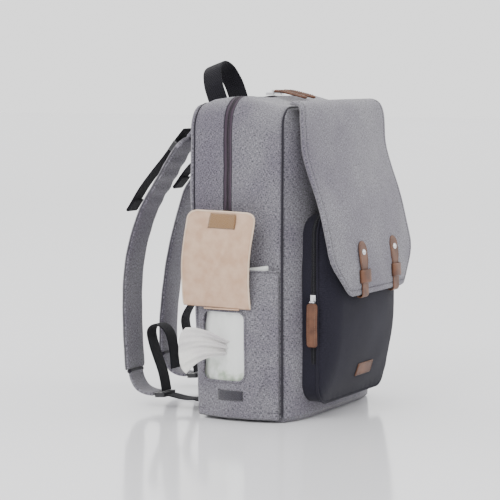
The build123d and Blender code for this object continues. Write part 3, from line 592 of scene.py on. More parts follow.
def pack_film():
    """Printed film of a wipes pack: white, with a pale green and grey print low down."""
    material, nodes, links, shader = base_material("wipe_pack", 0.35)
    place = nodes.new("ShaderNodeTexCoord")
    blots = nodes.new("ShaderNodeTexNoise")
    blots.inputs["Scale"].default_value = 55.0
    blots.inputs["Detail"].default_value = 6.0
    links.new(place.outputs["Object"], blots.inputs["Vector"])
    green, pale, white = (0.30, 0.38, 0.28), (0.55, 0.6, 0.52), (0.72, 0.75, 0.72)
    blot_color = ramp_between(nodes, links, blots.outputs["Fac"], green, white, 0.36, 0.56, pale)
    split = nodes.new("ShaderNodeSeparateXYZ")
    links.new(place.outputs["Object"], split.inputs[0])
    printed = ramp_between(
        nodes, links, split.outputs["Z"], (1, 1, 1), (0, 0, 0), 0.062, 0.082, (0.6, 0.6, 0.6)
    )
    mix = nodes.new("ShaderNodeMix")
    mix.data_type = "RGBA"
    mix.inputs[6].default_value = (0.76, 0.78, 0.76, 1.0)
    links.new(printed, mix.inputs[0])
    links.new(blot_color, mix.inputs[7])
    links.new(mix.outputs[2], shader.inputs["Base Color"])
    add_bump(nodes, links, shader, blots.outputs["Fac"], 0.5, 0.002)
    return material


def make_materials():
    fleck = settings("look").fleck
    grey_low, grey_high = 0.115 - 0.115 * fleck, 0.115 + 0.22 * fleck
    return {
        "grey": fabric("grey_fabric", (grey_low, grey_low * 0.94, grey_low * 1.14),
                       (grey_high, grey_high * 0.97, grey_high * 1.08), 0.00085, 4.0,
                       spread=(0.38, 0.62)),
        "black": fabric("black_fabric", (0.006, 0.0055, 0.010), (0.018, 0.017, 0.027),
                        0.0008, 2.0, 0.08, 0.3),
        "webbing": fabric("webbing", (0.003, 0.003, 0.005), (0.014, 0.0135, 0.018),
                          0.0016, 1.2, 0.08, 0.8),
        "piping": fabric("piping", (0.008, 0.007, 0.012), (0.026, 0.023, 0.032), 0.0008, 2.0),
        "tape": fabric("zip", (0.05, 0.034, 0.048), (0.10, 0.075, 0.098), 0.0007, 1.5, 0.1, 0.5),
        "teeth": hard("zip_teeth", (0.04, 0.03, 0.042), 0.5),
        "lining": fabric("lining_fabric", (0.12, 0.115, 0.125), (0.19, 0.185, 0.2), 0.0006, 1.5, 0.2, 0.2),
        "brown": leather("brown_leather", (0.075, 0.026, 0.011), (0.15, 0.06, 0.028)),
        "edge": leather("leather_edge", (0.04, 0.015, 0.008), (0.07, 0.028, 0.014)),
        "beige": leather("beige_leather", (0.50, 0.315, 0.205), (0.60, 0.41, 0.29), 0.5, 700.0, 0.15),
        "beige_edge": leather("beige_edge", (0.60, 0.45, 0.33), (0.70, 0.56, 0.43), 0.5, 700.0, 0.15),
        "hook": fabric("hook_loop", (0.27, 0.15, 0.06), (0.38, 0.23, 0.1), 0.0009, 1.0, 0.4, 1.0),
        "dark_hook": fabric("dark_hook_loop", (0.018, 0.016, 0.024), (0.045, 0.042, 0.055),
                            0.0009, 1.0, 0.4, 1.0),
        "thread": fabric("grey_thread", (0.05, 0.048, 0.056), (0.12, 0.117, 0.126), 0.0006, 1.0),
        "tan_thread": fabric("tan_thread", (0.10, 0.05, 0.028), (0.2, 0.11, 0.06), 0.0006, 1.0),
        "metal": hard("hardware", (0.72, 0.72, 0.74), 0.22, 1.0),
        "magnet": hard("magnet", (0.45, 0.45, 0.48), 0.35, 1.0),
        "plastic": hard("black_plastic", (0.018, 0.018, 0.021), 0.35),
        "pack": pack_film(),
        "wipe": fabric("wipe", (0.72, 0.72, 0.66), (0.84, 0.84, 0.79), 0.0012, 3.0, 0.2, 0.5),
        "foam": hard("foam", (0.35, 0.35, 0.36), 0.95),
        "board": hard("board", (0.12, 0.11, 0.1), 0.8),
    }


MATERIALS = {}


def finish_of(name):
    if not MATERIALS:
        MATERIALS.update(make_materials())
    return MATERIALS[name]


def place(obj, body, slot, *nodes):
    """Let a piece ride on a body and stand for CAD nodes, which are hidden. The slot is not used."""
    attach(obj, body)
    if nodes:
        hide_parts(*nodes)
    return obj


def place_over_fold(obj, slot, *nodes):
    """Fabric that is fixed below the mouth's fold: its transform is baked in and the CAD nodes it stands for
    are hidden.
    """
    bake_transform(obj)
    if nodes:
        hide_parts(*nodes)
    return obj


# ---- body ---------------------------------------------------------------------------
def soft(point, outward, amount=1.0):
    """A point moved in or out a little, as slack fabric does."""
    depth = settings("body").wrinkle / MM * amount
    slow = noise.noise(point * 0.017 + Vector((3.1, 0.4, 7.7)))
    quick = noise.noise(point * 0.05 + Vector((1.3, 9.2, 0.6)))
    return point + outward * (depth * (1.3 * slow + 0.55 * quick))


def top_z(y):
    body = settings("body")
    return body.height / MM + body.crown / MM * bell((y - ZIP_Y) / 46.0)


def corner_r(y):
    return 40.0 - 16.0 * min(abs(y - ZIP_Y) / 77.0, 1.0) ** 2


def back_y(z):
    return BACK_BASE_Y + (BACK_TOP_Y - BACK_BASE_Y) * min(z / BACK_BEND_Z, 1.0)


def arch(s, y):
    """A point on the gusset's line at depth y: up the left side, over the top and down."""
    half, r, high = settings("body").half_width / MM, corner_r(y), top_z(y)
    side = 1.0
    if s > 0.5:
        s, side = 1 - s, -1.0
    if s < SIDE_SHARE:
        z = BASE_ROUND + (high - r - BASE_ROUND) * s / SIDE_SHARE
        puff = 1.6 * math.sin(math.pi * min(z / high, 1.0))
        x = -half - puff * (1 - (s / SIDE_SHARE) ** 6)
        return x * side, z, Vector((-side, 0, 0))
    if s < SIDE_SHARE + CORNER_SHARE:
        angle = math.pi / 2 * (s - SIDE_SHARE) / CORNER_SHARE
        x = -half + r - r * math.cos(angle)
        z = high - r + r * math.sin(angle)
        return x * side, z, Vector((-side * math.cos(angle), 0, math.sin(angle)))
    share = (s - 0.45) / 0.05
    x = -(half - r) * (1 - share)
    return x * side, high, Vector((0, 0, 1))


def crease(y, z):
    """The folds that the bulging pocket pulls into the lower front corner of the side."""
    fold = bell((y + 45 + (z - 40) * 0.28) / 4.0) * bell((z - 42) / 24.0)
    swell = bell((y + 34 + (z - 40) * 0.2) / 7.0) * bell((z - 45) / 26.0)
    low = bell((z - 235) / 3.0) * min(max((-20 - y) / 20, 0), 1)
    hem = bell((z - HEM_Z) / 1.3)
    return 2.2 * swell - 3.6 * fold - 0.5 * low - 1.1 * hem


def gusset_point(s, y, inset=0.0):
    x, z, out = arch(s, y)
    p = Vector((x, y, z))
    if abs(out.x) > 0.99:
        p = p + out * crease(y, z)
    sewn = min(y - FRONT_SEAM_Y, back_y(z) - CORD_INSET - y, 1.5 * (z - BASE_ROUND), 12.0) / 12.0
    return soft(p, out, max(sewn, 0.0)) - out * inset


def seam_round(y, edge_y, radius):
    """How far a surface has turned in, close to a rounded edge."""
    d = min(abs(edge_y - y) / radius, 1.0)
    return radius * (1 - math.sqrt(max(0.0, 1 - (1 - d) ** 2)))


def front_gusset():
    cloth = settings("body").cloth / MM

    def surface(u, v):
        _, z, _ = arch(u, ZIP_Y)
        near_zip = ZIP_Y - 5.4
        if z < ZIP_LOW_Z:
            near_zip = ZIP_Y
        y = FRONT_SEAM_Y + v * (near_zip - FRONT_SEAM_Y)
        return gusset_point(u, y, seam_round(y, FRONT_SEAM_Y, 7.0) * 0.5)

    return pad("gusset_front", surface, (230, 26), (1030, 72), cloth, 3.0,
               [finish_of("grey"), finish_of("lining")], out=0.0)


def rear_gusset():
    cloth = settings("body").cloth / MM

    def surface(u, v):
        _, z, _ = arch(u, ZIP_Y)
        near_zip = ZIP_Y + 5.4 if z > ZIP_LOW_Z else ZIP_Y
        edge = back_y(z) - CORD_INSET
        y = near_zip + v * (edge - near_zip)
        return gusset_point(u, y)

    return pad("gusset_rear", surface, (230, 20), (1030, 50), cloth, 3.0,
               [finish_of("grey"), finish_of("lining")], out=0.0)


def side_limit(z, y):
    """Half of the gusset's width at a height."""
    r, high = corner_r(y), top_z(y)
    half = settings("body").half_width / MM
    if z <= high - r:
        return half
    rise = min(z - (high - r), r)
    return half - r + math.sqrt(max(0.0, r * r - rise * rise))


def front_panel_y(x, z):
    """The bulging front panel."""
    half = settings("body").half_width / MM
    across = 1 - min(abs(x) / half, 1.0) ** 5
    top = math.sin(math.pi / 2 * min(max(top_z(FRONT_SEAM_Y) - z, 0) / 34.0, 1.0))
    low = 0.8 + 0.2 * math.sin(math.pi / 2 * min(max(z - BASE_ROUND, 0) / 40.0, 1.0))
    return FRONT_SEAM_Y - 21.0 * across * min(top ** 0.8, low)


def face_grid(u, v, y_edge, low_z):
    """A place in an outline that is as wide as the gusset at every height."""
    high = top_z(y_edge)
    z = low_z + (high - low_z) * (1 - (1 - v) ** 1.25 if v > 0 else 0.0)
    x = (2 * u - 1) * side_limit(min(z, high - 0.4), y_edge)
    return x, z


def front_panel():
    def surface(u, v):
        x, z = face_grid(u, v, FRONT_SEAM_Y, BASE_ROUND)
        p = Vector((x, front_panel_y(x, z), z))
        sewn = min(1.0, (1 - abs(2 * u - 1)) * 10, (z - BASE_ROUND) / 10)
        return soft(p, Vector((0, -1, 0)), 0.8 * sewn)

    return pad("front_cloth", surface, (70, 90), (266, 390), settings("body").cloth / MM, 3.0,
               [finish_of("grey"), finish_of("lining")], out=0.0)


def back_panel():
    half = settings("body").half_width / MM

    def surface(u, v):
        edge = BACK_TOP_Y - CORD_INSET
        x, z = face_grid(u, v, edge, BASE_ROUND)
        away = min(half - abs(x), z - BASE_ROUND + 3, top_z(edge) - z)
        limit = side_limit(min(z, top_z(edge) - 0.4), edge)
        away = max(min(away, limit - abs(x)), 0.0)
        y = back_y(z) - CORD_INSET + CORD_INSET * rounded(away / 12)
        channel = bell(x / 5.0) * min(max((z - 40) / 30, 0), 1) * min(max((370 - z) / 30, 0), 1)
        return soft(Vector((x, y - 2.0 * channel, z)), Vector((0, 1, 0)), min(away / 12, 1.0))

    return pad("back_cloth", surface, (70, 90), (266, 390), settings("body").cloth / MM, 3.0,
               [finish_of("grey"), finish_of("lining")], out=0.0, flip=True)


def base_panel():
    half = settings("body").half_width / MM

    def surface(u, v):
        x = (2 * u - 1) * half
        front = front_panel_y(x, BASE_ROUND)
        y = front + v * (back_y(BASE_ROUND) - CORD_INSET - front)
        away = min(half - abs(x), min(v, 1 - v) * 120)
        z = BASE_ROUND - (BASE_ROUND - 0.3) * rounded(away / 4)
        return Vector((x, y, z))

    return pad("base_cloth", surface, (60, 34), (266, 125), settings("body").cloth / MM, 3.0,
               [finish_of("grey"), finish_of("lining")], out=0.0, flip=True)


def seam_line(y_of, out, count=300, start=0.004, end=0.996):
    points = []
    for i in range(count + 1):
        s = start + (end - start) * i / count
        _, z, _ = arch(s, ZIP_Y)
        y = y_of(z)
        x, z, normal = arch(s, y)
        points.append(Vector((x, y, z)) + normal * out)
    return points


class BAG_OT_body(bpy.types.Operator):
    """Make the padded gusset, front, back and base with the cords in their seams"""

    bl_idname = "bag.body"
    bl_label = "Body"

    def execute(self, context):
        place_over_fold(front_gusset(), "grey_fabric", "mouth_side_panels", "mouth_top_gusset",
                        "mouth_lining")
        place_over_fold(front_panel(), "grey_fabric", "mouth_front_panel", "front_panel")
        place(rear_gusset(), "bag", "grey_fabric", "left_side_panel", "right_side_panel",
              "rear_top_gusset", "lining")
        back = place(back_panel(), "bag", "grey_fabric", "back_panel")
        place(base_panel(), "bag", "grey_fabric", "base_panel")
        radius = settings("body").piping / MM
        front = seam_line(lambda z: FRONT_SEAM_Y, -0.6)
        place_over_fold(tube("front_seam_piping", front, radius, finish_of("piping")), "black_fabric")
        rear = seam_line(lambda z: back_y(z) - CORD_INSET, -0.4)
        place(tube("back_seam_piping", rear, radius * 0.8, finish_of("piping")), "bag",
              "black_fabric", "seam_piping")
        low = [wipes_x(y, HEM_Z) + Vector((0.1, 0, 0)) for y in range(-61, 54)]
        place(tube("base_seam", low, 0.45, finish_of("piping")), "bag", "black_fabric")
        low = [p + Vector((-0.2, 0, 1.8)) for p in low]
        place(rods("base_stitches", [low], finish_of("thread"), 3.6, 2.6, 0.3), "bag", "grey_fabric")
        return {"FINISHED"}


# ---- main zip -----------------------------------------------------------------------
def zip_range():
    """Shares of the arch where the zip starts and ends."""
    low = 0.0
    while arch(low, ZIP_Y)[1] < ZIP_LOW_Z:
        low += 0.0005
    return low, 1 - low


def tape_strip(name, near, far):
    low, high = zip_range()

    def surface(u, v):
        y = near + v * (far - near)
        return gusset_point(low + u * (high - low), y, 1.1)

    return pad(name, surface, (200, 6), (500, 7), 1.2, 0.6, [finish_of("tape")])


def zip_line(y, inset):
    low, high = zip_range()
    return [gusset_point(low + (high - low) * i / 320, y, inset) for i in range(321)]


def pull_piece(name, x):
    """A leather pull: a strap folded round the slider's eye and stitched, hanging forward."""
    low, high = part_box(name)
    back = Vector((0, high.y / MM, high.z / MM - 1.6))
    front = Vector((0, low.y / MM, low.z / MM + 1.6))
    line = [back, back.lerp(front, 0.3) + Vector((0, 0, 1.5)),
            back.lerp(front, 0.7) + Vector((0, 0, 0.8)), front]
    smooth = smooth_line(line, 40)

    def swell(share, across, up):
        width = 0.62 + 0.38 * min(share / 0.25, 1.0)
        width *= math.sqrt(max(0.05, 1 - max(0.0, (share - 0.88) / 0.13) ** 2))
        waist = 1 - 0.35 * bell((share - 0.08) / 0.05)
        return across * width * waist, up * (1.0 + 0.25 * math.cos(across / 5.5 * math.pi))

    strap = band(name + "_leather", smooth, x, 11.0, 3.4, finish_of("brown"), 0.45, swell)
    rows = []
    for side in (-3.6, 3.6):
        rows.append([p + Vector((x + side, 0, 2.0)) for p in smooth[8:36]])
    stitches = rods(name + "_stitches", rows, finish_of("tan_thread"), 3.2, 2.2, 0.3)
    return strap, stitches


class BAG_OT_zip(bpy.types.Operator):
    """Make the zip over the top, with its tapes, teeth and leather pulls"""

    bl_idname = "bag.zip"
    bl_label = "Main zip"

    def execute(self, context):
        front = in_groups(
            tape_strip("front_tape", ZIP_Y - 6.4, ZIP_Y - 0.5),
            rods("front_teeth", [zip_line(ZIP_Y - 1.2, 0.4)], finish_of("teeth"), 1.5, 2.0, 0.62, (0, 1, 0)),
            # painted shade: a thin dark tube along the tape's outer edge stands for the shadow in the tape's
            # fold
            tube("front_tape_fold_shadow", zip_line(ZIP_Y - 5.6, 0.3), 0.6, finish_of("piping")),
        )
        place_over_fold(front, "zip", "front_zip_tape")
        rear = in_groups(
            tape_strip("rear_tape", ZIP_Y + 0.5, ZIP_Y + 6.4),
            rods("rear_teeth", [zip_line(ZIP_Y + 1.2, 0.4)], finish_of("teeth"), 1.5, 2.0, 0.62, (0, 1, 0)),
            # painted shade: a thin dark tube along the tape's outer edge stands for the shadow in the tape's
            # fold
            tube("rear_tape_fold_shadow", zip_line(ZIP_Y + 5.6, 0.3), 0.6, finish_of("piping")),
        )
        place(rear, "bag", "zip", "rear_zip_tape")
        for side, x in (("left", -13.0), ("right", 13.0)):
            strap, stitches = pull_piece(f"zip_pull_{side}", x)
            place(strap, f"zip_pull_{side}", "brown_leather", f"zip_pull_{side}")
            place(stitches, f"zip_pull_{side}", "brown_leather")
        return {"FINISHED"}


# ---- front pocket -------------------------------------------------------------------
def rounded_outline(half_x, half_z, radius, count):
    """Evenly spaced points round a rounded rectangle, from the middle of its base."""
    straight_x, straight_z = 2 * (half_x - radius), 2 * (half_z - radius)
    quarter = math.pi * radius / 2
    runs = [straight_x / 2, quarter, straight_z, quarter, straight_x, quarter, straight_z, quarter,
            straight_x / 2]
    total = sum(runs)
    spots = [(0.0, -half_z), (half_x - radius, -half_z), (half_x, -half_z + radius),
             (half_x, half_z - radius), (half_x - radius, half_z), (-half_x + radius, half_z),
             (-half_x, half_z - radius),
             (-half_x, -half_z + radius), (-half_x + radius, -half_z)]
    centres = {1: (1, -1, -90), 3: (1, 1, 0), 5: (-1, 1, 90), 7: (-1, -1, 180)}
    points = []
    for i in range(count):
        want, k = total * i / count, 0
        while want > runs[k]:
            want -= runs[k]
            k += 1
        if k in centres:
            sx, sz, angle = centres[k]
            turn = math.radians(angle + 90 * want / quarter)
            points.append((sx * (half_x - radius) + radius * math.cos(turn),
                           sz * (half_z - radius) + radius * math.sin(turn)))
        else:
            x, z = spots[k]
            dx, dz = {0: (1, 0), 2: (0, 1), 4: (-1, 0), 6: (0, -1), 8: (1, 0)}[k]
            points.append((x + dx * want, z + dz * want))
    return points


def pocket_fullness(z):
    """How far the pocket's face stands out at a height, as a share."""
    t = (z - POCKET_MIDDLE_Z) / POCKET_HALF_Z
    return max(0.0, 1 - abs(t - 0.16) ** 2.3 / (1.3 if t > 0.16 else 1.42))


def pocket_face(x, z):
    """The pocket's padded face, in front of its seam."""
    pocket = settings("pocket")
    half, corner = pocket.half_width / MM, pocket.corner / MM
    across, up = abs(x) / half, abs(z - POCKET_MIDDLE_Z) / POCKET_HALF_Z
    edge = min((1 - across) * half, (1 - up) * POCKET_HALF_Z)
    cx, cz = across * half - (half - corner), up * POCKET_HALF_Z - (POCKET_HALF_Z - corner)
    if cx > 0 and cz > 0:
        edge = corner - math.hypot(cx, cz)
    edge = max(edge, 0.0)
    rim = rounded(edge / 26.0)
    middle = 0.62 + 0.38 * (1 - across ** 2)
    full = pocket.fullness / MM * pocket_fullness(z) * middle * rim + 2.2 * rim
    p = Vector((x, -pocket.seam_y / MM - full, z))
    pucker = 0.9 * math.sin((x + z) * 0.42) * math.exp(-edge / 9.0) * min(edge / 3, 1)
    slack = 1.5 * noise.noise(p * 0.02) * min(edge / 20, 1.0)
    return p + Vector((0, slack + pucker * 0.5, 0))


def pocket_front():
    pocket = settings("pocket")
    ring = rounded_outline(pocket.half_width / MM, POCKET_HALF_Z, pocket.corner / MM, 240)

    verts, uvs, faces = [], [], []
    rings, count = 34, len(ring)
    for layer, shift in ((0, 0.0), (1, 2.2)):
        for j in range(rings):
            share = (j / rings) ** 1.4
            for x, z in ring:
                p = pocket_face(x * (1 - share), POCKET_MIDDLE_Z + z * (1 - share))
                verts.append(p + Vector((0, shift if j else 0.8 * layer, 0)))
                uvs.append((p.x, p.z))
        verts.append(pocket_face(0.0, POCKET_MIDDLE_Z) + Vector((0, shift, 0)))
        uvs.append((0.0, POCKET_MIDDLE_Z))
    size = rings * count + 1
    for layer in (0, 1):
        base = layer * size
        for j in range(rings - 1):
            for k in range(count):
                n = (k + 1) % count
                quad = [base + j * count + k, base + j * count + n, base + (j + 1) * count + n,
                        base + (j + 1) * count + k]
                faces.append(quad if not layer else quad[::-1])
        for k in range(count):
            last = base + (rings - 1) * count
            tri = [last + k, last + (k + 1) % count, base + size - 1]
            faces.append(tri if not layer else tri[::-1])
    for k in range(count):
        n = (k + 1) % count
        faces.append([k, size + k, size + n, n])
    return new_piece("pocket_front", verts, faces, uvs, [finish_of("black")])


def pocket_ring(name, near_y, far_y_of, shift, thick, material, share=(0.0, 1.0), counts=(240, 10)):
    """A strip of the pocket's side, from its front seam back."""
    pocket = settings("pocket")
    half, corner = pocket.half_width / MM, pocket.corner / MM
    ring = rounded_outline(half + shift, POCKET_HALF_Z + shift, corner + shift, 480)
    count = len(ring)

    def surface(u, v):
        place_on = (share[0] + u * (share[1] - share[0])) * count
        k = int(place_on) % count
        a, b = ring[k], ring[(k + 1) % count]
        t = place_on - int(place_on)
        x, z = a[0] + (b[0] - a[0]) * t, POCKET_MIDDLE_Z + a[1] + (b[1] - a[1]) * t
        far = far_y_of(x, z)
        y = near_y + v * (far - near_y)
        slack = 0.8 * noise.noise(Vector((x, y, z)) * 0.04)
        scale = 1 + slack * math.sin(math.pi * v) / 100
        return Vector((x * scale, y, z))

    return pad(name, surface, counts, (650, 25), thick, 1.0, [material])


class BAG_OT_front_pocket(bpy.types.Operator):
    """Make the full black pocket with its zip, cord, label and leather pull"""

    bl_idname = "bag.front_pocket"
    bl_label = "Front pocket"

    def execute(self, context):
        pocket = settings("pocket")
        seam = -pocket.seam_y / MM
        half, corner = pocket.half_width / MM, pocket.corner / MM
        place(pocket_front(), "bag", "black_fabric", "pocket_front_panel")
        place(pocket_ring("pocket_side", seam + 0.4, lambda x, z: front_panel_y(x, z) + 1.5, -0.4, 2.0,
                          finish_of("black")), "bag", "black_fabric", "pocket_gusset")
        zip_share = (0.17, 0.83)
        tape = pocket_ring("pocket_tape", seam + 1.8, lambda x, z: seam + 9.0, 0.35, 0.9,
                           finish_of("webbing"), zip_share, (200, 6))
        ring = rounded_outline(half + 0.9, POCKET_HALF_Z + 0.9, corner + 0.9, 900)
        first, last = int(zip_share[0] * 900), int(zip_share[1] * 900)
        rows = [Vector((x, seam + 5.4, z + POCKET_MIDDLE_Z)) for x, z in ring[first:last]]
        teeth = rods("pocket_teeth", [rows], finish_of("plastic"), 1.6, 2.6, 0.6, (0, 1, 0))
        place(in_groups(tape, teeth), "bag", "zip", "pocket_zip_tape")
        ring = rounded_outline(half + 0.5, POCKET_HALF_Z + 0.5, corner, 300)
        cord = [Vector((x, seam, z + POCKET_MIDDLE_Z)) for x, z in ring]
        place(tube("pocket_cord", cord, 1.7, finish_of("black"), closed=True), "bag", "black_fabric",
              "pocket_piping")
        self.add_label()
        self.add_pull()
        return {"FINISHED"}

    def add_label(self):
        low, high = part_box("pocket_label")
        z0, z1 = low.z / MM, high.z / MM

        def surface(u, v):
            return pocket_face(24.0 * (2 * u - 1), z0 + v * (z1 - z0)) + Vector((0, -1.0, 0))

        label = pad("label_leather", surface, (40, 16), (48, 17), 1.8, 1.2,
                    [finish_of("brown"), finish_of("edge")])
        ring = rounded_outline(22.0, 6.7, 1.5, 120)
        rows = [pocket_face(x, (z0 + z1) / 2 + z) + Vector((0, -2.1, 0)) for x, z in ring]
        stitches = rods("label_stitches", [rows + rows[:1]], finish_of("tan_thread"), 2.8, 2.0, 0.28)
        place(in_groups(label, stitches), "bag", "brown_leather", "pocket_label")

    def add_pull(self):
        low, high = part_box("pocket_pull")
        x = (low.x + high.x) / 2 / MM
        y_mid, z0, z1 = (low.y + high.y) / 2 / MM, low.z / MM, high.z / MM

        def surface(u, v):
            z = z0 + v * (z1 - z0)
            width = 7.6 * math.sqrt(max(0.0, 1 - max(0.0, (abs(2 * v - 1) - 0.86) / 0.14) ** 2 * 0.65))
            lean = 1.2 * math.sin(math.pi * v)
            return Vector((x - lean, y_mid - width * (2 * u - 1), z))

        strap = pad("pocket_pull_leather", surface, (16, 50), (15, 56), 2.6, 1.3, [finish_of("brown")],
                    groove=(2.6, 0.7, 0.35))
        rows = []
        for side in (-5.0, 5.0):
            row = []
            for t in range(31):
                lean = 1.2 * math.sin(math.pi * t / 30)
                row.append(Vector((x - 1.4 - lean, y_mid + side, z0 + 4 + (z1 - z0 - 8) * t / 30)))
            rows.append(row)
        stitches = rods("pull_stitches", rows, finish_of("tan_thread"), 2.8, 2.0, 0.3)
        place(in_groups(strap, stitches), "pocket_pull", "brown_leather", "pocket_pull")


# ---- front flap ---------------------------------------------------------------------
FLAP_MIDDLE = [(6, 1.2), (0, 1.6), (-8, -1), (-14, -8.5), (-19, -28), (-24, -57), (-31, -84), (-42, -117),
               (-53, -152), (-61, -187), (-64, -217), (-65, -243)]
FLAP_EDGE = [(7, 0.6), (0, 1.4), (-7, -1), (-11, -8.5), (-13, -28), (-15, -57), (-22, -84), (-34, -117),
             (-44, -152), (-52, -187), (-55, -217), (-56, -243)]
FLAP_LINES = {}


def flap_lines():
    if not FLAP_LINES:
        y0, z0 = FLAP_TOP
        for name, steps in (("middle", FLAP_MIDDLE), ("edge", FLAP_EDGE)):
            FLAP_LINES[name] = smooth_line(yz([(y0 + y, z0 + z) for y, z in steps]), 200)
    return FLAP_LINES["middle"], FLAP_LINES["edge"]


def flap_at(x, share):
    """A point on the middle of the flap's thickness."""
    middle, edge = flap_lines()
    t = min(abs(x) / 132.0, 1.0) ** 2
    p = at(middle, share).lerp(at(edge, share), t)
    return Vector((x, p.y, p.z))


def flap_half(z):
    """Half of the flap's width at a height: rounded at the top, cut at the corners."""
    flap = settings("flap")
    half, bottom, chamfer = flap.half_width / MM, flap.bottom / MM, flap.chamfer / MM
    if z < chamfer + 9:
        share = max(0.0, (z - bottom) / (chamfer + 9 - bottom))
        tip = flap.tip_half / MM
        line = tip + (half - tip) * min(share * (chamfer + 9 - bottom) / (chamfer - bottom), 1.0)
        soften = 3.0 * bell((z - chamfer) / 7.0)
        return line - soften - 5.0 * math.exp(-((z - bottom) / 2.5))
    return half - 9.0 * max(0.0, (z - 376.0) / 28.0) ** 2.2


def flap_surface(u, v):
    share = v
    p = flap_at(0.0, share)
    x = (2 * u - 1) * flap_half(flap_at(110.0, share).z)
    p = flap_at(x, share)
    ripple = 0.9 * noise.noise(Vector((x * 0.03, p.z * 0.022, 4.0)))
    return p + Vector((0, ripple - 1.0 * math.sin(math.pi * v) * (x / 130) ** 2, 0))


def flap_out(x, share, distance):
    """A point standing off the flap's outer side."""
    step = 0.004
    a, b = flap_at(x, max(share - step, 0)), flap_at(x, min(share + step, 1))
    run = (b - a).normalized()
    normal = Vector((0, run.z, -run.y))
    if normal.y > 0:
        normal = -normal
    return flap_at(x, share) + normal * distance


def share_at_height(x, z):
    low, high = 0.0, 1.0
    for _ in range(24):
        mid = (low + high) / 2
        if flap_at(x, mid).z > z:
            low = mid
        else:
            high = mid
    return (low + high) / 2


class BAG_OT_flap(bpy.types.Operator):
    """Make the padded flap with its topstitching, leather straps, loops and studs"""

    bl_idname = "bag.flap"
    bl_label = "Front flap"

    def execute(self, context):
        flap = settings("flap")
        thick = flap.thickness / MM
        sheet = pad("flap_padded", flap_surface, (120, 130), (260, 262), thick, 4.0,
                    [finish_of("grey"), finish_of("lining")], flip=True, groove=(7.5, 1.4, 1.0))
        place(sheet, "front_flap", "grey_fabric", "front_flap", "flap_lining")
        rows = []
        for side in (0.031, 0.969):
            rows.append([self.stitch_point(side, 0.02 + 0.95 * i / 120) for i in range(121)])
        rows.append([self.stitch_point(0.035 + 0.93 * i / 90, 0.9715) for i in range(91)])
        stitch = flap.stitch / MM
        stitches = rods("flap_stitches", rows, finish_of("thread"), stitch + 1.2, stitch, 0.33)
        place(stitches, "front_flap", "grey_fabric")
        for x in (-BUTTON_X, BUTTON_X):
            self.add_strap(x, thick)
        low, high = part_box("flap_hem")
        y, z = (low.y + high.y) / 2 / MM, (low.z + high.z) / 2 / MM
        line = []
        for i in range(81):
            x = (low.x + (high.x - low.x) * i / 80) / MM
            line.append(Vector((x, y, z + 0.4)))
        hem = tube("flap_hem_cord", line, 2.2, finish_of("piping"), taper=True)
        place(hem, "mouth", "black_fabric", "flap_hem")
        return {"FINISHED"}

    def stitch_point(self, u, v):
        p = flap_surface(u, v)
        n = surface_normal(flap_surface, u, v)
        if n.y > 0:
            n = -n
        return p + n * (settings("flap").thickness / MM / 2 - 0.35)

    def add_strap(self, x, thick):
        """One leather strap that goes round the flap's lower edge, with its loop and stud."""
        top = share_at_height(x, 227.0)
        outer = [flap_out(x, top + (1.0 - top) * i / 30, thick / 2 + 1.1) for i in range(31)]
        low = outer[-1]
        under = [low + Vector((0, 1.6, -2.4)), low + Vector((0, 4.4, -3.2)), low + Vector((0, 7.6, -1.8)),
                 low + Vector((0, 8.6, 3.0)), low + Vector((0, 8.8, 10.0))]
        line = even_line([Vector((0, p.y, p.z)) for p in outer + under], 70)
        total = sum((b - a).length for a, b in zip(line, line[1:]))

        def swell(share, across, up):
            along = share * total
            width = 12.0 * math.sqrt(max(0.02, 1 - max(0.0, 1 - along / 12.0) ** 2))
            width -= 2.6 * min(max((along - 26) / 10, 0.0), 1.0)
            return across / 12.0 * width, up

        side_name = "left" if x < 0 else "right"
        strap = band(f"leather_strap_{side_name}", line, x, 24.0, 1.9, finish_of("brown"), 0.25, swell)
        rows = []
        for side in (-1, 1):
            row = []
            for i in range(4, 34):
                along = i / 70 * total
                w = swell(i / 70, 12.0, 0)[0] - 2.2
                row.append(line[i] + Vector((x + side * w, -1.0, 0.15)))
            rows.append(row)
        stitches = rods("strap_stitches", rows, finish_of("tan_thread"), 2.8, 2.0, 0.28)
        middle = share_at_height(x, 183.0)

        def loop(u, v):
            across = 13.5 * (2 * u - 1)
            share = middle + (v - 0.5) * 0.064
            rise = 4.6 * math.sqrt(max(0.0, 1 - abs(2 * u - 1) ** 3.0)) + 0.7
            return flap_out(x + across, share, thick / 2 + rise)

        keeper = pad("keeper", loop, (26, 12), (30, 17), 1.9, 0.9,
                     [finish_of("brown"), finish_of("edge")], flip=True)
        strap = in_groups(strap, stitches, keeper)
        nodes = ["flap_leather"] if x < 0 else []
        place(strap, "front_flap", "brown_leather", *nodes)
        stud = share_at_height(x, 213.0)
        centre = flap_out(x, stud, thick / 2 + 2.0)
        toward = (flap_out(x, stud, 10.0) - flap_out(x, stud, 0.0)).normalized()
        side = Vector((1, 0, 0))
        up = toward.cross(side).normalized()
        verts, uvs, faces = [], [], []
        profile = [(0.0, 2.4), (1.8, 2.2), (3.4, 1.6), (4.5, 0.7), (4.7, 0.0), (4.2, -0.5), (0.0, -0.6)]
        for radius, height in profile[1:-1]:
            for k in range(28):
                a = 2 * math.pi * k / 28
                verts.append(centre + side * (radius * 1.1 * math.cos(a)) + up * (radius * 0.86 * math.sin(a))
                             + toward * height)
                uvs.append((verts[-1].x, verts[-1].z))
        rings = len(profile) - 2
        for j in range(rings - 1):
            for k in range(28):
                n = (k + 1) % 28
                faces.append([j * 28 + k, (j + 1) * 28 + k, (j + 1) * 28 + n, j * 28 + n])
        faces.append([k for k in range(28)])
        faces.append([(rings - 1) * 28 + k for k in reversed(range(28))])
        dome = new_piece(f"stud_{side_name}", verts, faces, uvs, [finish_of("metal")])
        place(dome, "front_flap", "hardware", *(["flap_studs"] if x < 0 else []))


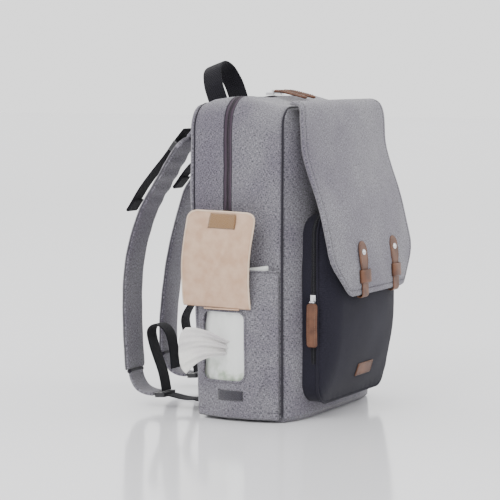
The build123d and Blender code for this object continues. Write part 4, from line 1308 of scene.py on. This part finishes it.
# ---- side pockets -------------------------------------------------------------------
def side_x(y, bulge):
    """The outer face of a pocket panel sewn to the left side."""
    t = min(abs(y - SIDE_POCKET_Y) / SIDE_POCKET_HALF, 1.0)
    return -134.6 - 1.0 - bulge * (1 - t ** 2.2)


def ring_sheet(name, inner, outer, point_of, rings, thick, material):
    """A closed sheet between a hole's outline and an outer outline."""
    count = len(inner)
    verts, uvs, faces = [], [], []
    for layer in (0, 1):
        for j in range(rings + 1):
            t = j / rings
            lift = thick if layer and 0 < j < rings else thick * 0.5
            if not layer and 0 < j < rings:
                lift = 0.0
            for (a, b), (c, d) in zip(inner, outer):
                y, z = a + (c - a) * t, b + (d - b) * t
                p = point_of(y, z)
                verts.append(p + Vector((lift, 0, 0)))
                uvs.append((y, z))
    size = (rings + 1) * count
    for layer in (0, 1):
        for j in range(rings):
            for k in range(count):
                n = (k + 1) % count
                quad = [layer * size + j * count + k, layer * size + j * count + n,
                        layer * size + (j + 1) * count + n, layer * size + (j + 1) * count + k]
                faces.append(quad if layer else quad[::-1])
    for j in (0, rings):
        for k in range(count):
            n = (k + 1) % count
            quad = [j * count + k, j * count + n, size + j * count + n, size + j * count + k]
            faces.append(quad if j == 0 else quad[::-1])
    piece = new_piece(name, verts, faces, uvs, [material])
    weld = piece.modifiers.new("Weld", "WELD")
    weld.merge_threshold = 1e-6
    graph = bpy.context.evaluated_depsgraph_get()
    mesh = bpy.data.meshes.new_from_object(piece.evaluated_get(graph))
    piece.modifiers.clear()
    piece.data = mesh
    return piece


def wipes_x(y, z):
    """The wipes pocket's face, slack towards its top edge."""
    x = side_x(y, WIPES_BULGE) - 1.2 * bell((z - 193) / 12.0) * math.cos(
        (y - SIDE_POCKET_Y) / SIDE_POCKET_HALF * math.pi / 2)
    sewn = min(1.0, (SIDE_POCKET_HALF - abs(y - SIDE_POCKET_Y)) / 10 + 0.3)
    x -= crease(y, z) * sewn
    return Vector((x + 1.2 * sewn * noise.noise(Vector((y * 0.035, z * 0.02, 2.0))), y, z))


class BAG_OT_wipes(bpy.types.Operator):
    """Make the wipes pocket: panel, bound window, pack, pulled wipe, and its open lid"""

    bl_idname = "bag.wipes"
    bl_label = "Wipes pocket"

    def execute(self, context):
        count = 192
        hole = [(WINDOW_Y + a, WINDOW_Z + b) for a, b in rounded_outline(31.0, 44.5, 10.0, count)]
        outline = rounded_outline(SIDE_POCKET_HALF, 95.0, 3.0, count)
        rim = [(SIDE_POCKET_Y + a, 98 + b) for a, b in outline]
        panel = ring_sheet("wipes_panel", hole, rim, wipes_x, 16, 1.6, finish_of("grey"))
        place(panel, "bag", "grey_fabric", "wipes_pocket_panel")
        edge = [wipes_x(WINDOW_Y + a, WINDOW_Z + b) for a, b in rounded_outline(31.4, 44.9, 10.4, 160)]
        binding = tube("window_edge", edge, 1.3, finish_of("grey"), closed=True)
        hinge = [Vector((LID_X, y, LID_Z)) for y in range(-12, 40, 2)]
        place(in_groups(binding, tube("lid_hinge_bead", hinge, 1.0, finish_of("beige"))), "bag",
              "grey_fabric", "window_binding")
        seam = [wipes_x(y, 192.6) + Vector((-0.4, 0, 0)) for y in range(-60, 54, 2)]
        place(tube("pocket_top_hem", seam, 1.1, finish_of("grey")), "bag", "grey_fabric")
        self.add_pack()
        self.add_wipe()
        self.add_lid()
        patch = pad("dark_patch", lambda u, v: wipes_x(-16 + 36 * u, 26 + 13 * v) + Vector((-0.8, 0, 0)),
                    (20, 10), (36, 13), 1.3, 0.6, [finish_of("dark_hook")], flip=True)
        place(patch, "bag", "hook_loop", "closure_patch")
        return {"FINISHED"}

    def add_pack(self):
        def surface(u, v):
            y = -46 + 94 * u
            z = 14 + 176 * v + 9.5 * (1 - u) ** 1.5 * v
            away = min(u, 1 - u) * 94
            rise = 4.6 * rounded(away / 26)
            crumple = 1.0 * noise.noise(Vector((y * 0.09, z * 0.05, 1.0)))
            ridge = 0.5 * math.sin(y * 0.5 + 2.0 * noise.noise(Vector((0.0, z * 0.03, y * 0.05))))
            return Vector((side_x(y, WIPES_BULGE) + 9.6 - rise + crumple + ridge, y, z))

        pack = pad("pack_film", surface, (60, 90), (94, 176), 3.0, 6.0, [finish_of("pack")], flip=True)
        place(pack, "bag", "wipe_pack", "wipes_pack")

    def add_wipe(self):
        """The wipe hangs out of the window's slot and fans out towards the back."""
        roots = (Vector((-144.5, 3.0, 118.0)), Vector((-144.5, 12.0, 76.0)))
        tips = (Vector((-186.0, 55.0, 121.0)), Vector((-190.0, 52.0, 62.0)))

        def surface(u, v):
            root = roots[0].lerp(roots[1], 0.62 + (u - 0.5) * 0.45)
            tip = tips[0].lerp(tips[1], u)
            belly = Vector((-6.0, -3.0, 7.0)) * math.sin(math.pi * v)
            belly += Vector((4.0, 0, 0)) * max(0.0, 1 - v * 6)
            round_off = Vector((6.0, -7.0, 0)) * (v ** 3) * (2 * u - 1) ** 4
            folds = (2.4 * math.sin(u * 17.0 + 2.0 * v) + 1.2 * math.sin(u * 41.0)) * (1 - 0.7 * v)
            crumple = 3.0 * noise.noise(Vector((u * 3.0, v * 3.0, 5.0)))
            across = Vector((-0.78, -0.62, 0)) * (folds + crumple * v)
            return root.lerp(tip, v) + belly + round_off + across

        wipe = pad("wipe_pulled", surface, (90, 46), (75, 62), 0.5, 0.5, [finish_of("wipe")])
        place(wipe, "bag", "wipe", "wipe_sheet")
        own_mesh(wipe)

    def add_lid(self):
        def surface(u, v):
            high = 123.0
            z_up = v * high
            corner = 11.0
            shrink = max(0.0, z_up - (high - corner))
            half = 47.5 - (corner - math.sqrt(max(0.0, corner ** 2 - shrink ** 2)))
            y = 20 + (2 * u - 1) * half
            lean = -math.sin(math.radians(3)) * z_up
            bow = -4.2 * math.sin(math.pi * min(v * 1.15, 1.0)) ** 2 - 2.0 * (2 * u - 1) ** 2 * v
            curl = 1.6 * math.exp(-z_up / 7.0)
            crumple = 1.6 * noise.noise(Vector((y * 0.035, z_up * 0.03, 8.0)))
            fold = -2.2 * bell((y - 14 - (z_up - 60) * -0.45) / 5.0) * math.sin(math.pi * v)
            x = LID_X - 1.0 + lean + bow + curl + (crumple + fold) * min(v * 3, 1.0)
            return Vector((x, y - 13.0 * v ** 2.2, LID_Z + 1.4 + z_up + 0.02 * (y - 20)))

        lid = pad("lid_leather", surface, (60, 76), (95, 123), 2.0, 1.2, [finish_of("beige")], flip=True,
                  groove=(3.4, 0.7, 0.3))
        border = []
        for i in range(80):
            border.append(surface(0.0, i / 79))
        for i in range(1, 60):
            border.append(surface(i / 60, 1.0))
        for i in range(80):
            border.append(surface(1.0, 1 - i / 79))
        cord = tube("lid_cord", border, 1.15, finish_of("beige_edge"), taper=True)
        lid = in_groups(lid, cord)
        place(lid, "wipes_lid", "beige_leather", "wipes_lid")
        def patch_surface(u, v):
            return surface(0.27 + 0.41 * u, 0.825 + 0.155 * v) + Vector((-1.7, 0, 0))

        patch = pad("lid_hook_patch", patch_surface, (24, 14), (39, 20), 1.4, 0.6,
                    [finish_of("hook")], flip=True)
        place(patch, "wipes_lid", "hook_loop", "lid_patch")


class BAG_OT_bottle(bpy.types.Operator):
    """Make the bottle pocket on the other side, gathered by its elastic"""

    bl_idname = "bag.bottle"
    bl_label = "Bottle pocket"

    def execute(self, context):
        def surface(u, v):
            y, z = -62 + 116 * u, 3 + 148 * v
            gather = 1.2 * math.sin(u * 75.0) * v ** 3
            return Vector((-side_x(y, 15.0 - 1.5 * v) + gather, y, z))

        panel = pad("bottle_panel", surface, (110, 40), (130, 148), 1.6, 0.8,
                    [finish_of("black"), finish_of("lining")], out=0.5)
        place(panel, "bag", "black_fabric", "bottle_pocket")

        def hem(u, v):
            y, z = -62 + 116 * u, 150 + 8 * v
            return Vector((-side_x(y, 13.4) + 0.9 * math.sin(u * 75.0), y, z))

        elastic = pad("bottle_elastic", hem, (140, 8), (130, 8), 2.6, 1.3, [finish_of("webbing")])
        place(elastic, "bag", "webbing", "bottle_pocket_elastic")
        return {"FINISHED"}


# ---- straps and handle --------------------------------------------------------------
UPPER_TAB = [(58, 391), (75, 374), (91.2, 357.9)]
FOOT_TAB = [(50, 14), (65, 14), (79.7, 14)]
PAD_LINES = {
    "left": [(91.2, 357.9), (110, 334), (133, 298), (151, 270), (163, 244), (175, 205), (181, 160),
             (181, 100), (178, 48)],
    "right": [(91.2, 357.9), (112, 339), (140, 321), (163, 301), (180, 279), (192, 245), (203, 207),
              (212, 164), (220, 100), (221, 48)],
}
END_STEPS = [(-0.4, -0.8), (-4, -14), (-12, -25), (-24, -30), (-37, -31)]
TAIL_STEPS = {
    "left": [(-2.5, 3.9), (3, 29), (16, 63), (20, 83), (12, 92), (0, 90), (-9, 79), (-14, 57), (-16, 35)],
    "right": [(-2.5, 3.9), (2, 25), (13, 55), (18, 76), (13, 91), (1, 106), (-13, 118), (-26, 128)],
}
LIFTER_STEPS = [(-6, 10.5), (8, 11.2), (21, 11.45), (41, 12.8), (69, 17.5), (97, 20.5), (124, 23.5)]


def beside(line, along, height):
    """A point at a distance along a line and above it."""
    total = sum((b - a).length for a, b in zip(line, line[1:]))
    share = along / total
    p, q = at(line, share), at(line, share + 0.004)
    if share < 0:
        p, q = line[0], line[1]
        p = p + (q - p).normalized() * along
        q = line[1]
    run = (q - p).normalized()
    return p + Vector((0, -run.z, run.y)) * height


class BAG_OT_straps(bpy.types.Operator):
    """Make the padded shoulder straps with their webbing, lifters and tabs"""

    bl_idname = "bag.straps"
    bl_label = "Shoulder straps"

    def execute(self, context):
        for side, x in (("left", -STRAP_X), ("right", STRAP_X)):
            self.add_strap(side, x)
        tabs = []
        for x in (-STRAP_X, STRAP_X):
            tabs.append(band("upper_tab", smooth_line(yz(UPPER_TAB), 20), x, 26.0, 6.0, finish_of("grey")))
        place(in_groups(*tabs), "bag", "grey_fabric", "upper_strap_tabs")
        feet = []
        for x in (-STRAP_X, STRAP_X):
            feet.append(band("foot_tab", smooth_line(yz(FOOT_TAB), 12), x, 34.0, 3.0, finish_of("webbing")))
        place(in_groups(*feet), "bag", "webbing", "lower_strap_tabs")
        return {"FINISHED"}

    def add_strap(self, side, x):
        strap = settings("strap")
        body = f"shoulder_strap_{side}"
        line = smooth_line(yz(PAD_LINES[side]), 150)
        width, thick = strap.pad_width / MM, strap.pad_thickness / MM

        def crinkled(share, across, up):
            inner = 1.0 if up < 0 else 0.25
            high = bell((share - 0.2) / 0.16)
            waves = 1.3 * math.sin(share * 95.0) * high * inner
            flat = 0.22 * abs(across) / (width / 2)
            round_end = math.sqrt(max(0.02, 1 - max(0.0, 1 - share / 0.06) ** 2))
            return across * round_end * (1 + 0.012 * math.sin(share * 60)), up * (1 - flat) + waves * 0.6

        pad_piece = band(f"pad_{side}", line, x, width, thick, finish_of("grey"), 0.22, crinkled, 28)
        place(pad_piece, body, "grey_fabric", f"strap_pad_{side}")
        cords = []
        for edge in (-1, 1):
            row = [p + Vector((x + edge * width / 2, 0, 0)) for p in line[8:]]
            cords.append(tube("pad_edge", row, 1.1, finish_of("thread")))
        rows = []
        for edge in (-1, 1):
            row = [beside(line, i * 3.4, thick / 2 - 0.7) + Vector((x + edge * (width / 2 - 4.5), 0, 0))
                   for i in range(5, 100)]
            rows.append(row)
        cords.append(rods("pad_stitches", rows, finish_of("thread"), 3.8, 2.6, 0.3))
        place(in_groups(*cords), body, "grey_fabric")
        last = PAD_LINES[side][-1]
        end_line = smooth_line(yz([(last[0] + a, last[1] + b) for a, b in END_STEPS]), 30)
        end = band(f"pad_end_{side}", end_line, x, 34.0, 5.0, finish_of("grey"), 0.22)
        seam = [end_line[1] + Vector((x + s, 0, 0)) for s in (-18.0, 18.0)]
        dark = tube("end_seam", even_line(seam, 8), 2.7, finish_of("piping"))
        place(in_groups(end, dark), body, "grey_fabric", f"strap_end_{side}")
        lock = (last[0] - 46, last[1] - 31)
        web = strap.webbing_width / MM
        tail = smooth_line(yz([(lock[0] + a, lock[1] + b) for a, b in TAIL_STEPS[side]]), 80)
        start = FOOT_TAB[-1]
        web_end = (lock[0] - 8.6, lock[1] - 0.4)
        foot = [start, (start[0] + 0.42 * (web_end[0] - start[0]), start[1] - 1), web_end]
        webbing = in_groups(
            band(f"webbing_{side}", tail, x, web, 1.8, finish_of("webbing"), 0.15),
            band("foot_webbing", smooth_line(yz(foot), 24), x, web, 1.8, finish_of("webbing"), 0.15),
        )
        place(webbing, body, "webbing", f"strap_webbing_{side}")
        lifter = [beside(line, along, height) for along, height in LIFTER_STEPS]
        lifter += [lifter[-1] + Vector((0, 2.0, -2.0)), lifter[-1] + Vector((0, 0.4, -4.4)),
                   lifter[-2].lerp(lifter[-1], 0.5) + Vector((0, -1.6, -2.4))]
        piece = band(f"lifter_{side}", smooth_line(lifter, 80), x, web, 1.8, finish_of("webbing"), 0.15)
        place(piece, body, "webbing", f"lifter_webbing_{side}")


class BAG_OT_handle(bpy.types.Operator):
    """Make the webbing carry handle"""

    bl_idname = "bag.handle"
    bl_label = "Carry handle"

    def execute(self, context):
        width = settings("strap").handle_width / MM
        lean = math.radians(20)
        pivot = Vector((0, 78.0, 399.6))
        leg = [(-30, -13), (-30, 0), (-30.5, 14), (-29, 30), (-19, 48)]
        path = leg + [(0, 55.5)] + [(-x, z) for x, z in reversed(leg)]
        flat = smooth_line([Vector((x, 0, z)) for x, z in path], 90)
        verts, uvs, faces = [], [], []
        section, reach = 16, 0.0
        for i, p in enumerate(flat):
            run = (flat[min(i + 1, 90)] - flat[max(i - 1, 0)]).normalized()
            out = Vector((-run.z, 0, run.x))
            reach += (p - flat[max(i - 1, 0)]).length
            for k in range(section):
                a = 2 * math.pi * k / section
                c, s = math.cos(a), math.sin(a)
                w = math.copysign(abs(c) ** 0.2, c) * width / 2
                t = math.copysign(abs(s) ** 0.6, s) * 1.4
                q = p + out * t + Vector((0, w, 0))
                back = q.y * math.cos(lean) + q.z * math.sin(lean)
                up = -q.y * math.sin(lean) + q.z * math.cos(lean)
                verts.append(pivot + Vector((q.x, back, up)))
                uvs.append((w, reach))
        for i in range(90):
            for k in range(section):
                n = (k + 1) % section
                faces.append([i * section + k, i * section + n, (i + 1) * section + n, (i + 1) * section + k])
        faces.append([k for k in reversed(range(section))])
        faces.append([90 * section + k for k in range(section)])
        handle = new_piece("handle_webbing", verts, faces, uvs, [finish_of("webbing")])
        place(handle, "carry_handle", "webbing", "carry_handle")
        return {"FINISHED"}


class BAG_OT_fittings(bpy.types.Operator):
    """Give the sliders, locks, snaps and hidden layers their own finishes"""

    bl_idname = "bag.fittings"
    bl_label = "Fittings"

    def execute(self, context):
        finishes = {
            "zip_slider_left": "metal", "zip_slider_right": "metal", "pocket_slider": "metal",
            "flap_snaps": "magnet", "pocket_snaps": "magnet", "handle_tabs": "webbing",
            "back_foam": "foam", "base_board": "board", "inner_pocket": "lining",
            "ladder_lock_left": "plastic", "ladder_lock_right": "plastic",
            "lifter_buckle_left": "plastic", "lifter_buckle_right": "plastic",
        }
        for name, finish in finishes.items():
            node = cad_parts[name]
            if not node.material_slots:
                node.data.materials.append(finish_of(finish))
            for slot in node.material_slots:
                slot.material = finish_of(finish)
        return {"FINISHED"}


# ---- studio -------------------------------------------------------------------------
class BAG_OT_stage(bpy.types.Operator):
    """Make the white glossy floor, the lights and the camera"""

    bl_idname = "bag.stage"
    bl_label = "Studio"

    def execute(self, context):
        strength = settings("look").light
        floor_material, nodes, links, shader = base_material("studio_floor", 0.14)
        shader.inputs["Base Color"].default_value = (0.86, 0.86, 0.88, 1.0)
        haze = nodes.new("ShaderNodeTexNoise")
        haze.inputs["Scale"].default_value = 3.0
        links.new(ramp_between(nodes, links, haze.outputs["Fac"], (0.11, 0.11, 0.11), (0.17, 0.17, 0.17)),
                  shader.inputs["Roughness"])
        mesh = bpy.data.meshes.new("floor")
        size = 14.0
        corners = [(-size, -size), (size, -size), (size, size), (-size, size)]
        mesh.from_pydata([(x, y, FLOOR_Z) for x, y in corners], [], [(0, 1, 2, 3)])
        mesh.materials.append(floor_material)
        floor = bpy.data.objects.new("floor", mesh)
        bpy.context.scene.collection.objects.link(floor)
        world = bpy.data.worlds.new("studio")
        world.use_nodes = True
        background = world.node_tree.nodes["Background"]
        background.inputs["Color"].default_value = (1.0, 1.0, 1.0, 1.0)
        background.inputs["Strength"].default_value = 1.7 * strength
        bpy.context.scene.world = world
        target = Vector((-0.05, -0.02, 0.2))
        for name, spot, power, size in (
            ("key", (-2.2, 0.2, 2.2), 30.0, 1.2),
            ("front", (1.2, -2.4, 1.6), 16.0, 1.4),
            ("back", (0.6, 2.2, 1.8), 14.0, 1.6),
        ):
            data = bpy.data.lights.new(name, "AREA")
            data.energy = power * strength
            data.size = size
            light = bpy.data.objects.new(name, data)
            bpy.context.scene.collection.objects.link(light)
            light.location = spot
            light.rotation_euler = (target - Vector(spot)).to_track_quat("-Z", "Y").to_euler()
        lens = bpy.data.cameras.new("camera")
        lens.lens = 148.68
        lens.sensor_width = 36.0
        camera = bpy.data.objects.new("camera", lens)
        bpy.context.scene.collection.objects.link(camera)
        camera.location = (-2.4547, -1.1995, 0.4523)
        aim = Vector((-0.094678, 0.0, 0.214284)) - camera.location
        camera.rotation_euler = aim.to_track_quat("-Z", "Y").to_euler()
        bpy.context.scene.camera = camera
        return {"FINISHED"}


class BAG_PT_panel(bpy.types.Panel):
    """The steps that make the bag, in order"""

    bl_label = "Diaper bag"
    bl_idname = "BAG_PT_panel"
    bl_space_type = "VIEW_3D"
    bl_region_type = "UI"
    bl_category = "Bag"

    def draw(self, context):
        for group in SETTINGS:
            box = self.layout.box()
            for name in getattr(context.scene, group).__annotations__:
                box.prop(getattr(context.scene, group), name)
        for operator in OPERATORS:
            self.layout.operator(operator.bl_idname)


SETTINGS = {
    "bag_body": BodySettings,
    "bag_pocket": PocketSettings,
    "bag_flap": FlapSettings,
    "bag_strap": StrapSettings,
    "bag_look": LookSettings,
}
OPERATORS = [
    BAG_OT_body, BAG_OT_zip, BAG_OT_front_pocket, BAG_OT_flap, BAG_OT_wipes, BAG_OT_bottle,
    BAG_OT_straps, BAG_OT_handle, BAG_OT_fittings, BAG_OT_stage,
]


def register():
    for name, group in SETTINGS.items():
        bpy.utils.register_class(group)
        setattr(bpy.types.Scene, name, bpy.props.PointerProperty(type=group))
    for item in [*OPERATORS, BAG_PT_panel]:
        bpy.utils.register_class(item)


def unregister():
    for item in reversed([*OPERATORS, BAG_PT_panel]):
        bpy.utils.unregister_class(item)
    for name, group in SETTINGS.items():
        delattr(bpy.types.Scene, name)
        bpy.utils.unregister_class(group)


def main():
    register()
    bpy.ops.bag.body()
    bpy.ops.bag.zip()
    bpy.ops.bag.front_pocket()
    bpy.ops.bag.flap()
    bpy.ops.bag.wipes()
    bpy.ops.bag.bottle()
    bpy.ops.bag.straps()
    bpy.ops.bag.handle()
    bpy.ops.bag.fittings()
    bpy.ops.bag.stage()


if __name__ == "__main__":
    main()
